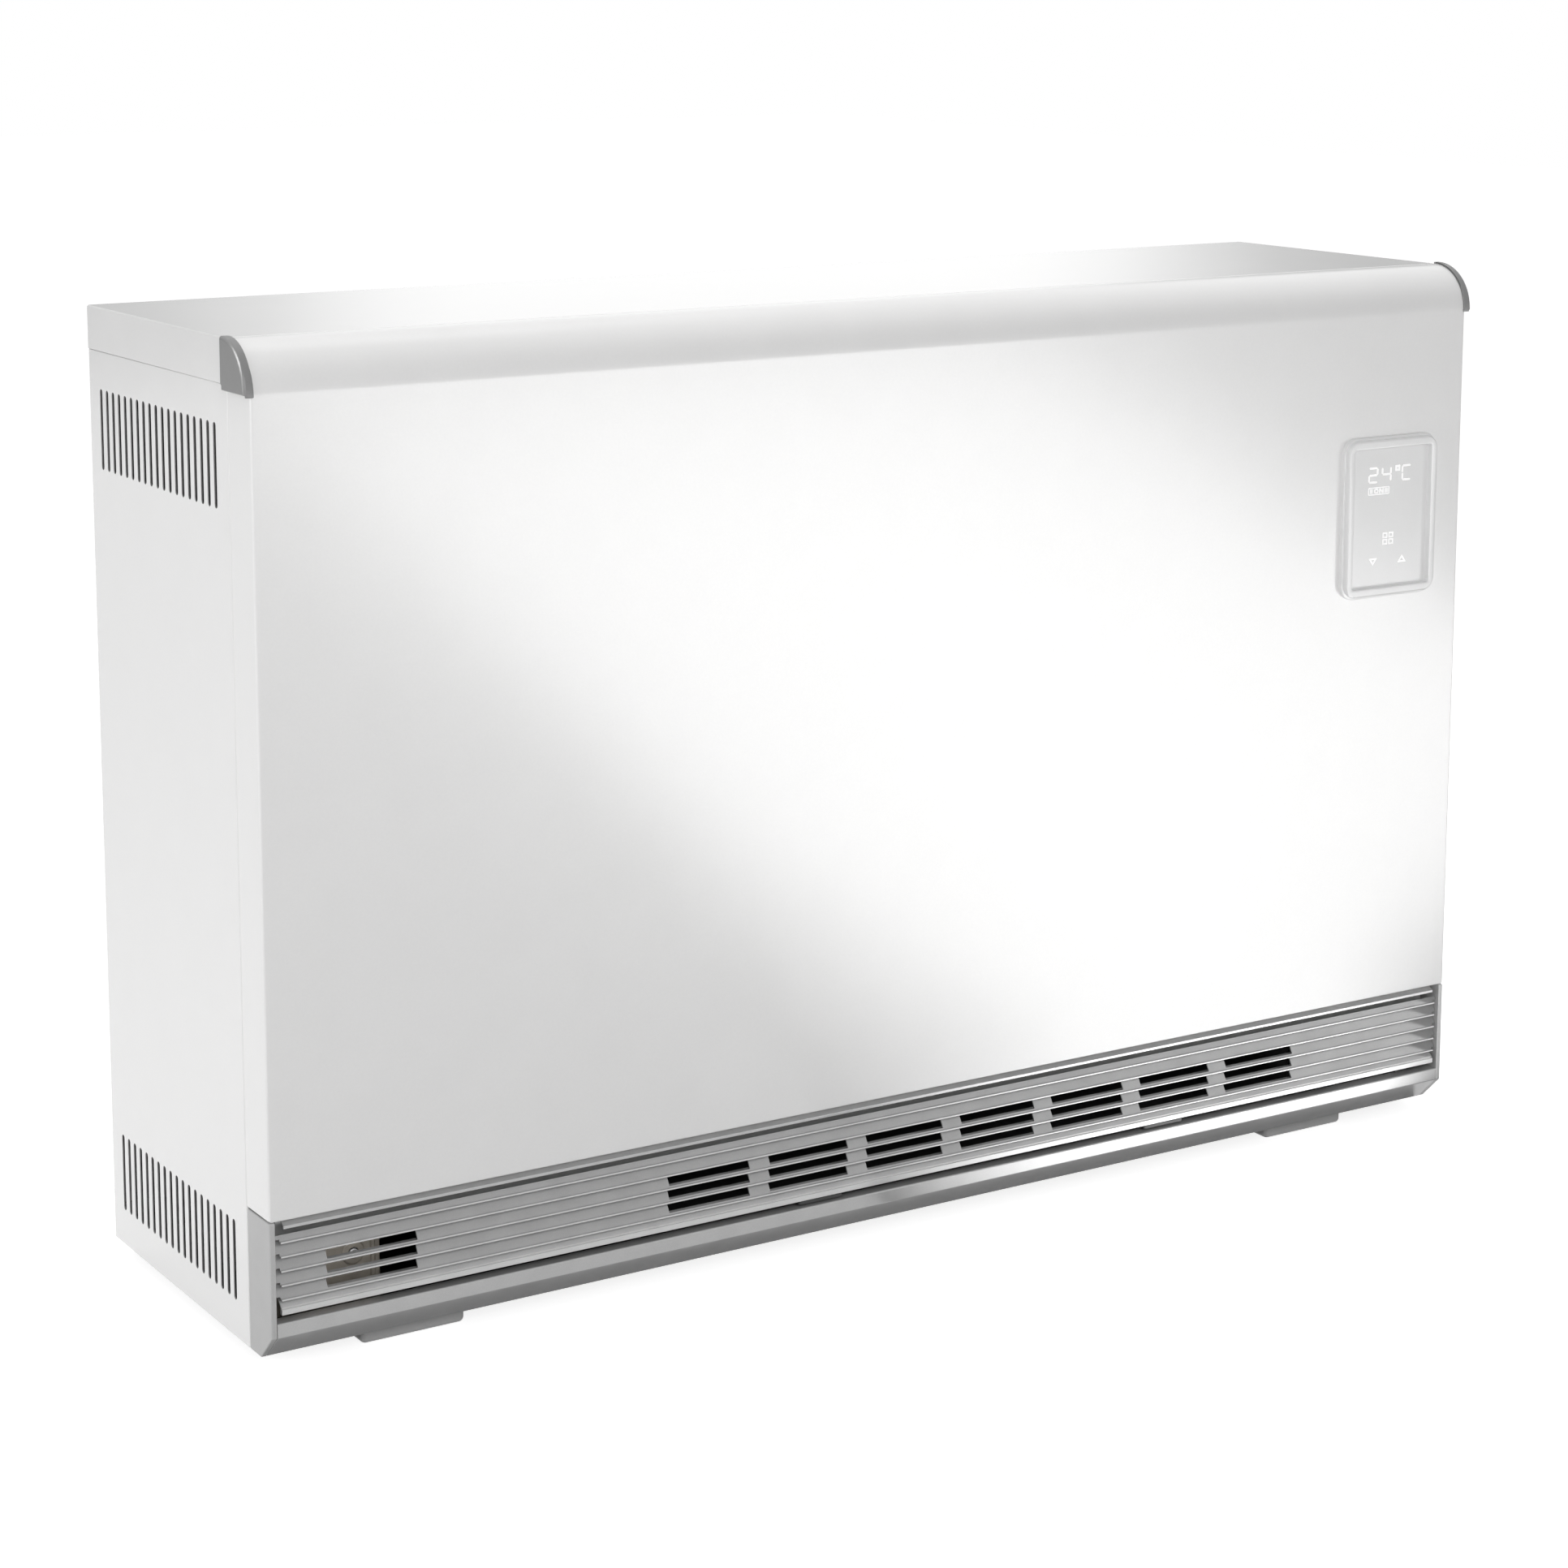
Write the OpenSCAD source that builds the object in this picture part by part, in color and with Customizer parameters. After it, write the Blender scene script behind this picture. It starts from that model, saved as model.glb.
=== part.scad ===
// Fan-assisted storage heater: a brick core in an insulated casing, with a fan chamber below it.
// Millimetres. The origin is on the floor under the middle of the heater, +Z is up,
// the front faces -Y and the display is at the +X end.

/* [Casing] */
// Width over the top cover
body_w = 984; // [960:1:1040]
// Depth from the front panel to the rear edge
body_d = 267; // [262:1:290]
// Height from the side panels' bottom edge to the top cover
body_h = 650; // [630:1:700]
// Thickness of the painted sheet
sheet_t = 1; // [0.8:0.1:1.3]
// How far the top cover stands proud of the side panels
lid_proud = 0.7; // [0.5:0.1:1]
// Height of the top cover's skirt
lid_skirt_h = 29; // [24:1:36]
// Radius of the front panel's curved top
front_curve_r = 32.5; // [28:0.5:38]
// Height of the front panel's bottom edge
front_low_z = 94.4; // [94:0.2:98]
// Outer radius of a bend in the sheet
bend_r = 2; // [1.5:0.1:2.5]
// Width of the flanges folded into the casing
flange_w = 14; // [10:1:18]
// How far the back panel lies inside the rear edge
rear_inset = 3; // [2.5:0.5:5]
// Gap between separate casing pieces
fit_gap = 0.3; // [0.2:0.05:0.4]
// Radial clearance of a turning shaft
run_gap = 0.05; // [0.02:0.01:0.08]

/* [Side vents] */
// Slots in one row
vent_count = 19; // [12:1:19]
// Distance between neighbouring slots
vent_pitch = 10.56; // [8:0.04:10.8]
// Width of a slot
vent_w = 4.2; // [3:0.1:4.5]
// Length of a slot
vent_h = 54; // [40:1:60]
// Distance from the rear edge to the last slot
vent_rear = 20.4; // [18:0.2:24]
// Height of the lower row's bottom end
vent_low_z = 25.6; // [24:0.2:40]
// Distance from the top cover's skirt down to the upper row
vent_drop = 25.6; // [20:0.2:40]

/* [Corner caps] */
// How far a cap stands out from the side panel
cap_t = 5; // [3:0.2:6]
// How far a cap stands proud of the curved sheet
cap_proud = 1.2; // [0.8:0.1:2]
// Width of the band that laps over the curved sheet
cap_band_w = 4.5; // [3:0.5:8]

/* [Display] */
// Width of the frame
display_w = 90; // [80:1:100]
// Height of the frame
display_h = 121; // [105:1:130]
// Distance from the frame to the right-hand edge of the casing
display_side = 28; // [18:1:40]
// Height of the frame's bottom edge
display_z = 407; // [300:1:470]
// How far the frame stands out from the front panel
display_proud = 7; // [6:0.5:9]
// Corner radius of the frame
display_r = 12; // [8:1:16]
// Width of the frame's rim round the window
rim_w = 7.6; // [6.6:0.1:10]
// Depth of the window below the frame's face
window_sink = 4.8; // [3:0.1:5]
// Thickness of the window
window_t = 1.5; // [1.2:0.1:2]
// Width of the step round the frame
step_w = 1.8; // [1:0.1:2.4]
// Thickness of the display's circuit board
board_t = 1.2; // [1:0.1:1.6]

/* [Air outlet] */
// Thickness of the end pieces beside the outlet
end_piece_t = 3.9; // [3:0.1:6]
// Height of the bottom trim
trim_h = 27; // [25:0.2:27.4]
// Size of the bottom trim's chamfer
trim_chamfer = 17.8; // [12:0.2:20]
// Thickness of the trim profile
trim_t = 1.6; // [1.2:0.1:2]
// Number of ribs on the outlet grille
rib_count = 5; // [3:1:5]
// Distance between ribs
rib_pitch = 9.5; // [8:0.1:9.7]
// Thickness of a rib
rib_t = 1.2; // [0.8:0.1:1.5]
// Depth of a rib
rib_depth = 8.2; // [6:0.1:10]
// Height of the lowest rib
rib_low_z = 42; // [41.4:0.2:43]
// Thickness of the slanted blades
blade_t = 1.1; // [0.8:0.1:1.4]
// How far behind the rib's edge a blade comes down
blade_foot_y = 2.2; // [1.5:0.1:3]
// How far behind the rib's edge a blade goes up
blade_head_y = 7; // [5.5:0.1:8]
// Gap between the end of a rib and the end piece
rib_end_gap = 3.8; // [2:0.2:6]
// Number of outlet slot groups
slot_count = 7; // [4:1:7]
// Distance between slot groups
slot_pitch = 79.9; // [74:0.1:82]
// Width of a slot
slot_w = 63.7; // [50:0.1:66]
// Distance from the right-hand edge to the last slot group
slot_side = 148.4; // [142:0.2:170]
// Distance from the left-hand edge to the sensor window
window_side = 41.1; // [36:0.1:60]

/* [Feet] */
// Height of a foot
foot_h = 12; // [10:1:25]
// Width of a foot
foot_w = 75; // [60:1:90]
// Distance from the side edge to a foot
foot_side = 76; // [50:1:110]
// Distance from the front to a foot
foot_front_y = 28; // [24:1:50]
// Distance from a foot to the rear edge
foot_rear = 32; // [20:1:60]
// Thickness of a foot's sheet
foot_t = 2; // [1.5:0.1:3]
// Radius of a floor fixing hole
floor_hole_r = 4; // [3:0.25:5]
// Distance between a foot's two floor fixing holes
floor_hole_gap = 150; // [100:1:160]

/* [Rear] */
// Radius of a wall fixing hole
wall_hole_r = 3.5; // [2.5:0.25:4.5]
// Distance from the side edges to the wall fixing holes
wall_hole_side = 24; // [22:1:27]
// Distance from the top down to the wall fixing holes
wall_hole_drop = 50; // [42:1:80]
// Radius of the cable entry
cable_r = 6.5; // [4:0.25:8]
// Length of the cable grommet
grommet_l = 12; // [8:1:16]
// Distance from the right-hand edge to the cable entry
cable_side = 60; // [45:1:80]
// Height of the cable entry
cable_z = 75; // [60:1:110]

/* [Fan chamber] */
// Height of the fan chamber
chamber_h = 126; // [124:1:140]
// Thickness of the base tray
tray_t = 1.2; // [1:0.1:1.6]
// Height of the tray's upturned edges
tray_edge_h = 24; // [15:1:25]
// Radius of a fan wheel
wheel_r = 30; // [24:0.5:31]
// Number of blades on a fan wheel
wheel_blades = 24; // [12:1:32]
// Depth of a fan wheel's blade
wheel_blade_d = 7; // [4:0.5:8]
// Radius of the fan shafts
shaft_r = 3; // [2:0.25:4]
// Distance from the front to the fan shafts
fan_y = 160; // [156:1:166]
// Height of the fan shafts
fan_z = 76; // [74:1:78]
// Thickness of the fan housings' sheet
housing_t = 1.5; // [1:0.1:2]
// Gap between the two fan motors
motor_gap = 24; // [16:1:40]
// Length of a motor's stack
motor_stack_l = 24; // [16:1:30]

/* [Lint filter] */
// Thickness of the filter frame
filter_t = 3; // [2.4:0.1:3.2]
// Length of the filter from front to back
filter_l = 214; // [190:1:220]
// Width of the filter frame's bars
filter_bar = 10; // [6:1:14]
// Distance from the front to the filter
filter_front_y = 8; // [6:0.5:12]

/* [Bypass flap] */
// Distance from the front to the flap's rod
flap_y = 88; // [84:1:90]
// Radius of the flap's rod
flap_rod_r = 3; // [2:0.25:3.5]
// Length of the flap from its rod to its edge
flap_l = 38; // [30:1:42]
// Height of the flap's rod under the core
flap_drop = 6; // [5.6:0.1:8]
// Length of the flap's lever
lever_l = 14; // [13.5:0.5:18]

/* [Core] */
// Clear space between the left side panel and the core casing
left_space = 44; // [36:1:60]
// Clear space for the electrics at the right
right_space = 115; // [108:1:140]
// Clear space in front of the core casing
front_space = 14; // [12:1:20]
// Clear space behind the core casing
rear_space = 16; // [14:1:24]
// Clear space over the core casing
top_space = 27; // [20:1:40]
// Thickness of the core casing's sheet
core_t = 0.8; // [0.6:0.1:1.2]
// Thickness of the insulation round the bricks
insulation_t = 34; // [28:1:38]
// Rows of bricks
brick_rows = 8; // [6:1:9]
// Columns of bricks
brick_columns = 4; // [3:1:5]
// Joint left between two bricks
brick_joint = 0.4; // [0.2:0.1:1]
// Width of an air channel through the bricks
channel_w = 16; // [10:1:20]
// Radius of a heating element's tube
element_r = 4.2; // [3:0.1:5]
// Distance between the two legs of a heating element
element_span = 60; // [50:1:64]
// Number of heating elements
element_count = 4; // [2:1:4]

/* [Hidden] */
arc_steps = 12;
$fn = 48;

// Casing planes, measured from the front panel and the side panels' bottom edge
half_w = body_w / 2;
skin_x = half_w - lid_proud;
inner_x = skin_x - sheet_t;
seam_z = body_h - lid_skirt_h;
curve_z = body_h - front_curve_r;
seam_y = front_curve_r + bend_r;
lid_y = seam_y + fit_gap;
rear_y = body_d - rear_inset;
lid_jog = sheet_t + fit_gap - lid_proud;
lap_h = 12;
flange_low_z = tray_edge_h + 1;
body_front_y = (display_proud - body_d) / 2;
foot_mid_y = (foot_front_y + body_d - foot_rear) / 2;
trim_x = skin_x - end_piece_t;
bar_y = 0.4;
bar_low_z = trim_h + 5;
bar_top_z = bar_low_z + 3.6;
cap_seat = 1.6;
rail_flange_y = 15;
rail_flange_h = 15;
screw_hole_r = 2;
rear_screw_x = skin_x - flange_w / 2;
rear_screw_z = [60, seam_z / 2, seam_z - 40];
foot_out_x = half_w - foot_side;
floor_hole_x = foot_out_x - foot_w / 2;
floor_hole_y = [foot_mid_y - floor_hole_gap / 2, foot_mid_y + floor_hole_gap / 2];
driver_hole_r = 8;
grommet_wall = 2.5;
cable_x = half_w - cable_side;
wall_hole_x = half_w - wall_hole_side;
wall_hole_z = body_h - wall_hole_drop;
white = [0.95, 0.95, 0.945];
plastic_grey = [0.56, 0.56, 0.56];
satin_metal = [0.74, 0.74, 0.74];
zinc = [0.66, 0.68, 0.69];

// Display planes
window_w = display_w - 2 * rim_w;
window_h = display_h - 2 * rim_w - 1.2;
window_r = 2;
window_lap = 2;
display_mid_x = half_w - display_side - display_w / 2;
display_mid_z = display_z + display_h / 2;
step_proud = 3.2;
spigot_wall = 1.5;
spigot_d = 8;

// Fan chamber planes
slots_half = (slot_count - 1) / 2 * slot_pitch + slot_w / 2;
slot_mid_x = half_w - slot_side - slots_half;
window_left_x = half_w - window_side;
fan_half = slots_half + 3.5;
housing_front_y = 100;
housing_rear_y = fan_y + wheel_r + 20;
housing_low_z = 36;
housing_top_z = chamber_h;
motor_x = motor_gap / 2;
housing_x = motor_x + motor_stack_l + 14;
bearing_r = shaft_r + 5;
bearing_l = 6;
rotor_r = 13;
filter_z = trim_h + 1;
filter_half = fan_half - 2;
mesh_t = 0.4;
duct_front_y = rib_depth + 3;
duct_low_z = filter_z + filter_t + 3;
flap_z = chamber_h - flap_drop;
flap_sleeve_r = flap_rod_r + 1.5;
flap_end_x = fan_half - 28;
lever_x = flap_end_x + 9;
flap_bracket_x = flap_end_x + 14;
lever_t = 2;
plunger_z = flap_z - lever_l + 2;
plunger_r = 1.5;
capsule_r = 6;
capsule_y = flap_y - 18;

// Core planes
core_x0 = -inner_x + left_space;
core_x1 = inner_x - right_space;
core_y0 = front_space;
core_y1 = rear_y - rear_space;
core_z0 = chamber_h;
core_z1 = body_h - top_space;
floor_t = 1;
brick_x0 = core_x0 + core_t + insulation_t;
brick_x1 = core_x1 - core_t - insulation_t;
brick_y0 = core_y0 + core_t + insulation_t;
brick_y1 = core_y1 - core_t - insulation_t;
brick_z0 = core_z0 + floor_t + insulation_t;
brick_z1 = core_z1 - core_t - insulation_t;
brick_w = (brick_x1 - brick_x0) / brick_columns;
brick_h = (brick_z1 - brick_z0) / brick_rows;
brick_mid_y = (brick_y0 + brick_y1) / 2;
channel_l = (brick_y1 - brick_y0) / 2 - element_span / 2 - element_r - 14;
front_channel_y = brick_y0 + 8;
rear_channel_y = brick_y1 - 8 - channel_l;
element_end_x = core_x1 + 22;
element_z = [for (i = [0 : element_count - 1]) if (2 * i + 1 < brick_rows) brick_z0 + (2 * i + 1) * brick_h];
element_y = [brick_mid_y - element_span / 2, brick_mid_y + element_span / 2];
element_bend_x = brick_x0 + element_span / 2 + 24;
seal_wall = 3.5;
probe_r = 3;
probe_depth = 60;
probe_z = brick_z0 + brick_h * 4.5;

// Electrics planes
plate_x = core_x1 + 40;
plate_t = 1.2;
board_face_x = plate_x + plate_t;
pillar_h = 6;
plate_top_z = core_z1 - 20;
limiter_size = [24, 34, 34];
limiter_y = 90;
limiter_z = plate_top_z - 123;
limiter_mid = [limiter_y + limiter_size[1] / 2, limiter_z + limiter_size[2] / 2];
button_r = 3;
button_travel = 2;
circuit_t = 1.6;
circuit_w = 130;
circuit_h = 150;
circuit_y = 70;
circuit_z = 150;
relay_size = [32, 34, 52];
relay_pitch = relay_size[1] + 8;
relay_z = circuit_z + circuit_h + 40;
terminal_h = 34;
terminal_y = 130;
terminal_z = 60;
pole_w = 14;

// Sensor corner
sensor_out_x = inner_x - tray_t - fit_gap;
sensor_in_x = window_left_x - 54;
sensor_y = seam_y + 4;
sensor_top_z = 96;
sensor_screw_x = window_left_x - 34.5;
sensor_screw_z = 48;

function xy(p) = [p[0], p[1]];
function unit(v) = v / norm(v);
function left_of(a, b) = let (d = unit(b - a)) [-d[1], d[0]];

// Points of the arc that rounds the corner at b between a and d
function corner_arc(a, b, d, r) =
    let (
        u = unit(a - b),
        v = unit(d - b),
        bend = acos(max(-1, min(1, u * v))),
        c = b + unit(u + v) * r / sin(bend / 2),
        p = b + u * r / tan(bend / 2) - c,
        q = b + v * r / tan(bend / 2) - c,
        start = atan2(p[1], p[0]),
        turn = (atan2(q[1], q[0]) - start + 540) % 360 - 180
    )
    [for (i = [0 : arc_steps]) let (angle = start + turn * i / arc_steps) c + r * [cos(angle), sin(angle)]];

// Corners are [x, y, radius]; a radius of 0 leaves the corner sharp
function rounded(corners) =
    let (n = len(corners))
    [for (i = [0 : n - 1])
        let (a = xy(corners[(i + n - 1) % n]), d = xy(corners[(i + 1) % n]))
            each corners[i][2] == 0 ? [xy(corners[i])] : corner_arc(a, xy(corners[i]), d, corners[i][2])];

// One end or corner of a path [x, y, radius], moved to the left by t
function moved_corner(path, i, t) =
    let (
        last = len(path) - 1,
        p = xy(path[i]),
        before = i == 0 ? left_of(p, xy(path[1])) : left_of(xy(path[i - 1]), p),
        after = i == last ? before : left_of(p, xy(path[i + 1])),
        turn = before[0] * after[1] - before[1] * after[0],
        r = path[i][2] == 0 ? 0 : max(0, path[i][2] - t * sign(turn))
    )
    concat(p + t * (before + after) / (1 + before * after), [r]);

function open_path(path) =
    let (last = len(path) - 1)
    [for (i = [0 : last])
        each (i == 0 || i == last || path[i][2] == 0) ? [xy(path[i])]
            : corner_arc(xy(path[i - 1]), xy(path[i]), xy(path[i + 1]), path[i][2])];

// Outline of a sheet bent along a path [x, y, radius], with its thickness to the left of the path
function bent_sheet(path, t) =
    let (
        last = len(path) - 1,
        back = [for (i = [last : -1 : 0]) moved_corner(path, i, t)]
    )
    concat(open_path(path), open_path(back));

// The body's own frame: y from the front panel, z from the side panels' bottom edge
module in_body() {
    translate([0, body_front_y, foot_h]) children();
}

module box(low, high) {
    translate(low) cube(high - low);
}

// Draws a y-z outline and stretches it along x
module along_x(x0, x1) {
    translate([x0, 0, 0]) rotate([90, 0, 90]) linear_extrude(x1 - x0) children();
}

// Draws an x-z outline and stretches it along y
module along_y(y0, y1) {
    translate([0, y1, 0]) rotate([90, 0, 0]) linear_extrude(y1 - y0) children();
}

module along_z(z0, z1) {
    translate([0, 0, z0]) linear_extrude(z1 - z0) children();
}

module rod_x(x0, x1, y, z, r) {
    translate([x0, y, z]) rotate([0, 90, 0]) cylinder(h = x1 - x0, r = r);
}

module rod_y(x, y0, y1, z, r) {
    translate([x, y0, z]) rotate([-90, 0, 0]) cylinder(h = y1 - y0, r = r);
}

module rod_z(x, y, z0, z1, r) {
    translate([x, y, z0]) cylinder(h = z1 - z0, r = r);
}

module left_hand() {
    mirror([1, 0, 0]) children();
}

module rounded_rect(w, h, r) {
    square([w - 2 * r, h], center = true);
    square([w, h - 2 * r], center = true);
    for (sx = [-1, 1], sz = [-1, 1])
        translate([sx * (w / 2 - r), sz * (h / 2 - r)]) circle(r);
}

// ---- Outer casing ----

module vent_row(low_z) {
    for (i = [0 : vent_count - 1])
        translate([0, body_d - vent_rear - i * vent_pitch, low_z]) {
            box([skin_x - 2 * sheet_t, -vent_w / 2, vent_w / 2],
                [skin_x + 1, vent_w / 2, vent_h - vent_w / 2]);
            for (z = [vent_w / 2, vent_h - vent_w / 2])
                rod_x(skin_x - 2 * sheet_t, skin_x + 1, 0, z, vent_w / 2);
        }
}

module side_panel() {
    wall_top_z = seam_z - fit_gap;
    tongue = [[skin_x, wall_top_z - 4, 0], [skin_x, wall_top_z - lid_jog, 0],
        [skin_x - lid_jog, wall_top_z, 0], [skin_x - lid_jog, seam_z + lap_h, 0]];
    difference() {
        union() {
            box([inner_x, seam_y, 0], [skin_x, body_d, wall_top_z]);
            box([skin_x - flange_w, seam_y, flange_low_z], [skin_x, seam_y + sheet_t, wall_top_z]);
            box([skin_x - flange_w, rear_y - sheet_t, flange_low_z], [skin_x, rear_y, wall_top_z]);
            along_y(lid_y + sheet_t + fit_gap, rear_y) polygon(bent_sheet(tongue, sheet_t));
        }
        vent_row(vent_low_z);
        vent_row(seam_z - vent_drop - vent_h);
        for (z = rear_screw_z) rod_y(rear_screw_x, rear_y - 2 * sheet_t, rear_y + 1, z, screw_hole_r);
    }
}

module right_side_panel() {
    color(white) in_body() side_panel();
}

module left_side_panel() {
    color(white) in_body() left_hand() side_panel();
}

module top_cover() {
    fold = [[half_w, seam_z, 0], [half_w, body_h, bend_r], [-half_w, body_h, bend_r], [-half_w, seam_z, 0]];
    brow = [[half_w, body_h - lap_h, 0], [half_w, body_h, bend_r], [-half_w, body_h, bend_r],
        [-half_w, body_h - lap_h, 0]];
    color(white) in_body() {
        along_y(lid_y, body_d) polygon(bent_sheet(fold, sheet_t));
        along_y(body_d - sheet_t, body_d) polygon(rounded(fold));
        along_y(lid_y, lid_y + sheet_t) polygon(rounded(brow));
    }
}

module front_panel() {
    return_y = seam_y - fit_gap;
    tray = [[-skin_x, return_y, 0], [-skin_x, 0, bend_r], [skin_x, 0, bend_r], [skin_x, return_y, 0]];
    brow = [[seam_y, body_h - lap_h, 0], [seam_y, body_h, bend_r], [0, body_h, front_curve_r],
        [0, curve_z - 1, 0]];
    brow_x = skin_x - cap_seat;
    hem_d = 12;
    color(white) in_body() difference() {
        union() {
            along_z(front_low_z, curve_z) polygon(bent_sheet(tray, sheet_t));
            along_x(-brow_x, brow_x) polygon(bent_sheet(brow, sheet_t));
            box([-inner_x - sheet_t / 2, sheet_t / 2, front_low_z],
                [inner_x + sheet_t / 2, hem_d, front_low_z + sheet_t]);
        }
        display_plate(-1, 2 * sheet_t, window_lap + spigot_wall + fit_gap, window_r + 2);
    }
}

module back_panel() {
    edge_x = inner_x - fit_gap;
    color(white) in_body() difference() {
        box([-edge_x, rear_y, 0], [edge_x, rear_y + sheet_t, seam_z + lap_h]);
        for (x = [-rear_screw_x, rear_screw_x], z = rear_screw_z)
            rod_y(x, rear_y - 1, rear_y + 2 * sheet_t, z, screw_hole_r);
        for (x = [-wall_hole_x, wall_hole_x])
            rod_y(x, rear_y - 1, rear_y + 2 * sheet_t, wall_hole_z, wall_hole_r);
        rod_y(cable_x, rear_y - 1, rear_y + 2 * sheet_t, cable_z, cable_r + grommet_wall + run_gap);
    }
}

// A quarter disc that closes the end of the curved sheet, with a band lapping over it
module corner_cap() {
    low_z = curve_z + fit_gap;
    top_z = body_h + cap_proud;
    back_y = seam_y - fit_gap;
    outline = concat([[back_y, low_z], [back_y, top_z]],
        corner_arc([back_y, top_z], [-cap_proud, top_z], [-cap_proud, low_z], top_z - low_z));
    along_x(skin_x - cap_seat + fit_gap, skin_x + cap_t) polygon(outline);
    difference() {
        along_x(skin_x - cap_band_w, skin_x) polygon(outline);
        rod_x(0, body_w, front_curve_r, curve_z, front_curve_r + fit_gap);
    }
}

module right_corner_cap() {
    color(plastic_grey) in_body() corner_cap();
}

module left_corner_cap() {
    color(plastic_grey) in_body() left_hand() corner_cap();
}

module end_piece() {
    top_z = front_low_z - fit_gap;
    back_y = seam_y - fit_gap;
    along_x(trim_x, skin_x)
        polygon([[0, top_z], [0, trim_chamfer], [trim_chamfer, 0], [back_y, 0], [back_y, top_z]]);
}

module right_end_piece() {
    color(satin_metal) in_body() end_piece();
}

module left_end_piece() {
    color(satin_metal) in_body() left_hand() end_piece();
}

module bottom_trim() {
    fold = [[10, trim_h, 0], [0, trim_h, 0.8], [0, trim_chamfer, 0.8], [trim_chamfer, 0, 0.8],
        [seam_y, 0, 0]];
    color(satin_metal) in_body()
        along_x(-trim_x + fit_gap, trim_x - fit_gap) polygon(bent_sheet(fold, trim_t));
}

// A blade slants from the underside of one rib forward and down to the next
module blade(top_z, foot_z) {
    slope = (blade_head_y - blade_foot_y) / (rib_pitch - rib_t);
    head_y = blade_foot_y + slope * (top_z - foot_z);
    polygon([[blade_foot_y, foot_z], [blade_foot_y + blade_t, foot_z],
        [head_y + blade_t, top_z], [head_y, top_z]]);
}

module outlet_slots(left_x, right_x) {
    for (k = [0 : rib_count - 3])
        box([left_x, -1, rib_low_z + k * rib_pitch + rib_t / 2 + 0.3],
            [right_x, rib_depth + 2, rib_low_z + (k + 1) * rib_pitch - 3]);
}

module outlet_grille() {
    rib_x = trim_x - rib_end_gap;
    blade_x = trim_x - fit_gap;
    rib_top_z = rib_low_z + (rib_count - 1) * rib_pitch;
    lip = [[blade_head_y - 0.4, rib_low_z - rib_t / 2], [blade_head_y + blade_t, rib_low_z - rib_t / 2],
        [3.4, bar_top_z + 1.3], [3.4, bar_low_z], [bar_y, bar_low_z], [bar_y, bar_top_z],
        [bar_y + 1.2, bar_top_z + 0.4], [bar_y + 0.8, bar_top_z + 1.1]];
    color(satin_metal) in_body() difference() {
        union() {
            for (k = [0 : rib_count - 1])
                box([-rib_x, 0, rib_low_z + k * rib_pitch - rib_t / 2],
                    [rib_x, rib_depth, rib_low_z + k * rib_pitch + rib_t / 2]);
            for (k = [0 : rib_count - 2])
                along_x(-blade_x, blade_x)
                    blade(rib_low_z + (k + 1) * rib_pitch - rib_t / 2, rib_low_z + k * rib_pitch + rib_t / 2);
            along_x(-blade_x, blade_x) blade(rib_top_z + 4, rib_top_z + rib_t / 2);
            along_x(-rib_x, rib_x) polygon(lip);
        }
        for (i = [0 : slot_count - 1])
            let (mid_x = slot_mid_x + (i - (slot_count - 1) / 2) * slot_pitch)
                outlet_slots(mid_x - slot_w / 2, mid_x + slot_w / 2);
        outlet_slots(-window_left_x, slot_w - window_left_x);
    }
}

// The strip between the front panel's bottom edge and the grille, with a flange behind it
module grille_top_rail() {
    top_z = front_low_z - fit_gap;
    rail_x = trim_x - 6;
    low_z = front_low_z - 5.6;
    color(satin_metal) in_body() along_x(-rail_x, rail_x)
        polygon([[0.4, low_z], [0.4, low_z + 2], [1.4, low_z + 2.4], [5.6, top_z], [rail_flange_y, top_z],
            [rail_flange_y, top_z - rail_flange_h], [rail_flange_y - 1, top_z - rail_flange_h],
            [rail_flange_y - 1, top_z - 1.2], [6, top_z - 1.2], [2.6, low_z + 1.6], [2.6, low_z]]);
}

module foot() {
    in_x = foot_out_x - foot_w;
    rear = body_d - foot_rear;
    corner_r = min(4, foot_h - foot_t - 1);
    shell = [[in_x, 0, 0], [in_x, -foot_h, corner_r], [foot_out_x, -foot_h, corner_r], [foot_out_x, 0, 0]];
    difference() {
        union() {
            along_y(foot_front_y, rear) polygon(bent_sheet(shell, foot_t));
            for (y = [foot_front_y, rear - foot_t])
                along_y(y, y + foot_t) polygon(rounded(shell));
        }
        for (y = floor_hole_y) rod_z(floor_hole_x, y, -foot_h - 1, foot_t - foot_h + 1, floor_hole_r);
    }
}

module right_foot() {
    color(plastic_grey) in_body() foot();
}

module left_foot() {
    color(plastic_grey) in_body() left_hand() foot();
}

// ---- Display ----

module display_plate(y0, y1, grow, r) {
    translate([display_mid_x, 0, display_mid_z]) along_y(y0, y1)
        rounded_rect(window_w + 2 * grow, window_h + 2 * grow, r);
}

module display_frame() {
    color(white) in_body() difference() {
        union() {
            translate([display_mid_x, 0, display_mid_z]) {
                along_y(-step_proud, 0) rounded_rect(display_w, display_h, display_r);
                along_y(-display_proud, 0)
                    rounded_rect(display_w - 2 * step_w, display_h - 2 * step_w, display_r - step_w);
            }
            display_plate(-1, spigot_d, window_lap + spigot_wall, window_r + 2);
        }
        display_plate(-display_proud - 1, 1, 0, window_r);
        display_plate(window_sink - display_proud, spigot_d + 1, window_lap, window_r);
    }
}

module display_window() {
    y0 = window_sink - display_proud;
    color([0.85, 0.85, 0.85]) in_body() display_plate(y0, y0 + window_t, window_lap - fit_gap / 2, window_r);
}

module display_board() {
    color([0.1, 0.35, 0.2]) in_body()
        display_plate(spigot_d - 2 - board_t, spigot_d - 2, window_lap - fit_gap / 2, window_r);
}

// ---- Base tray and core ----

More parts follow.
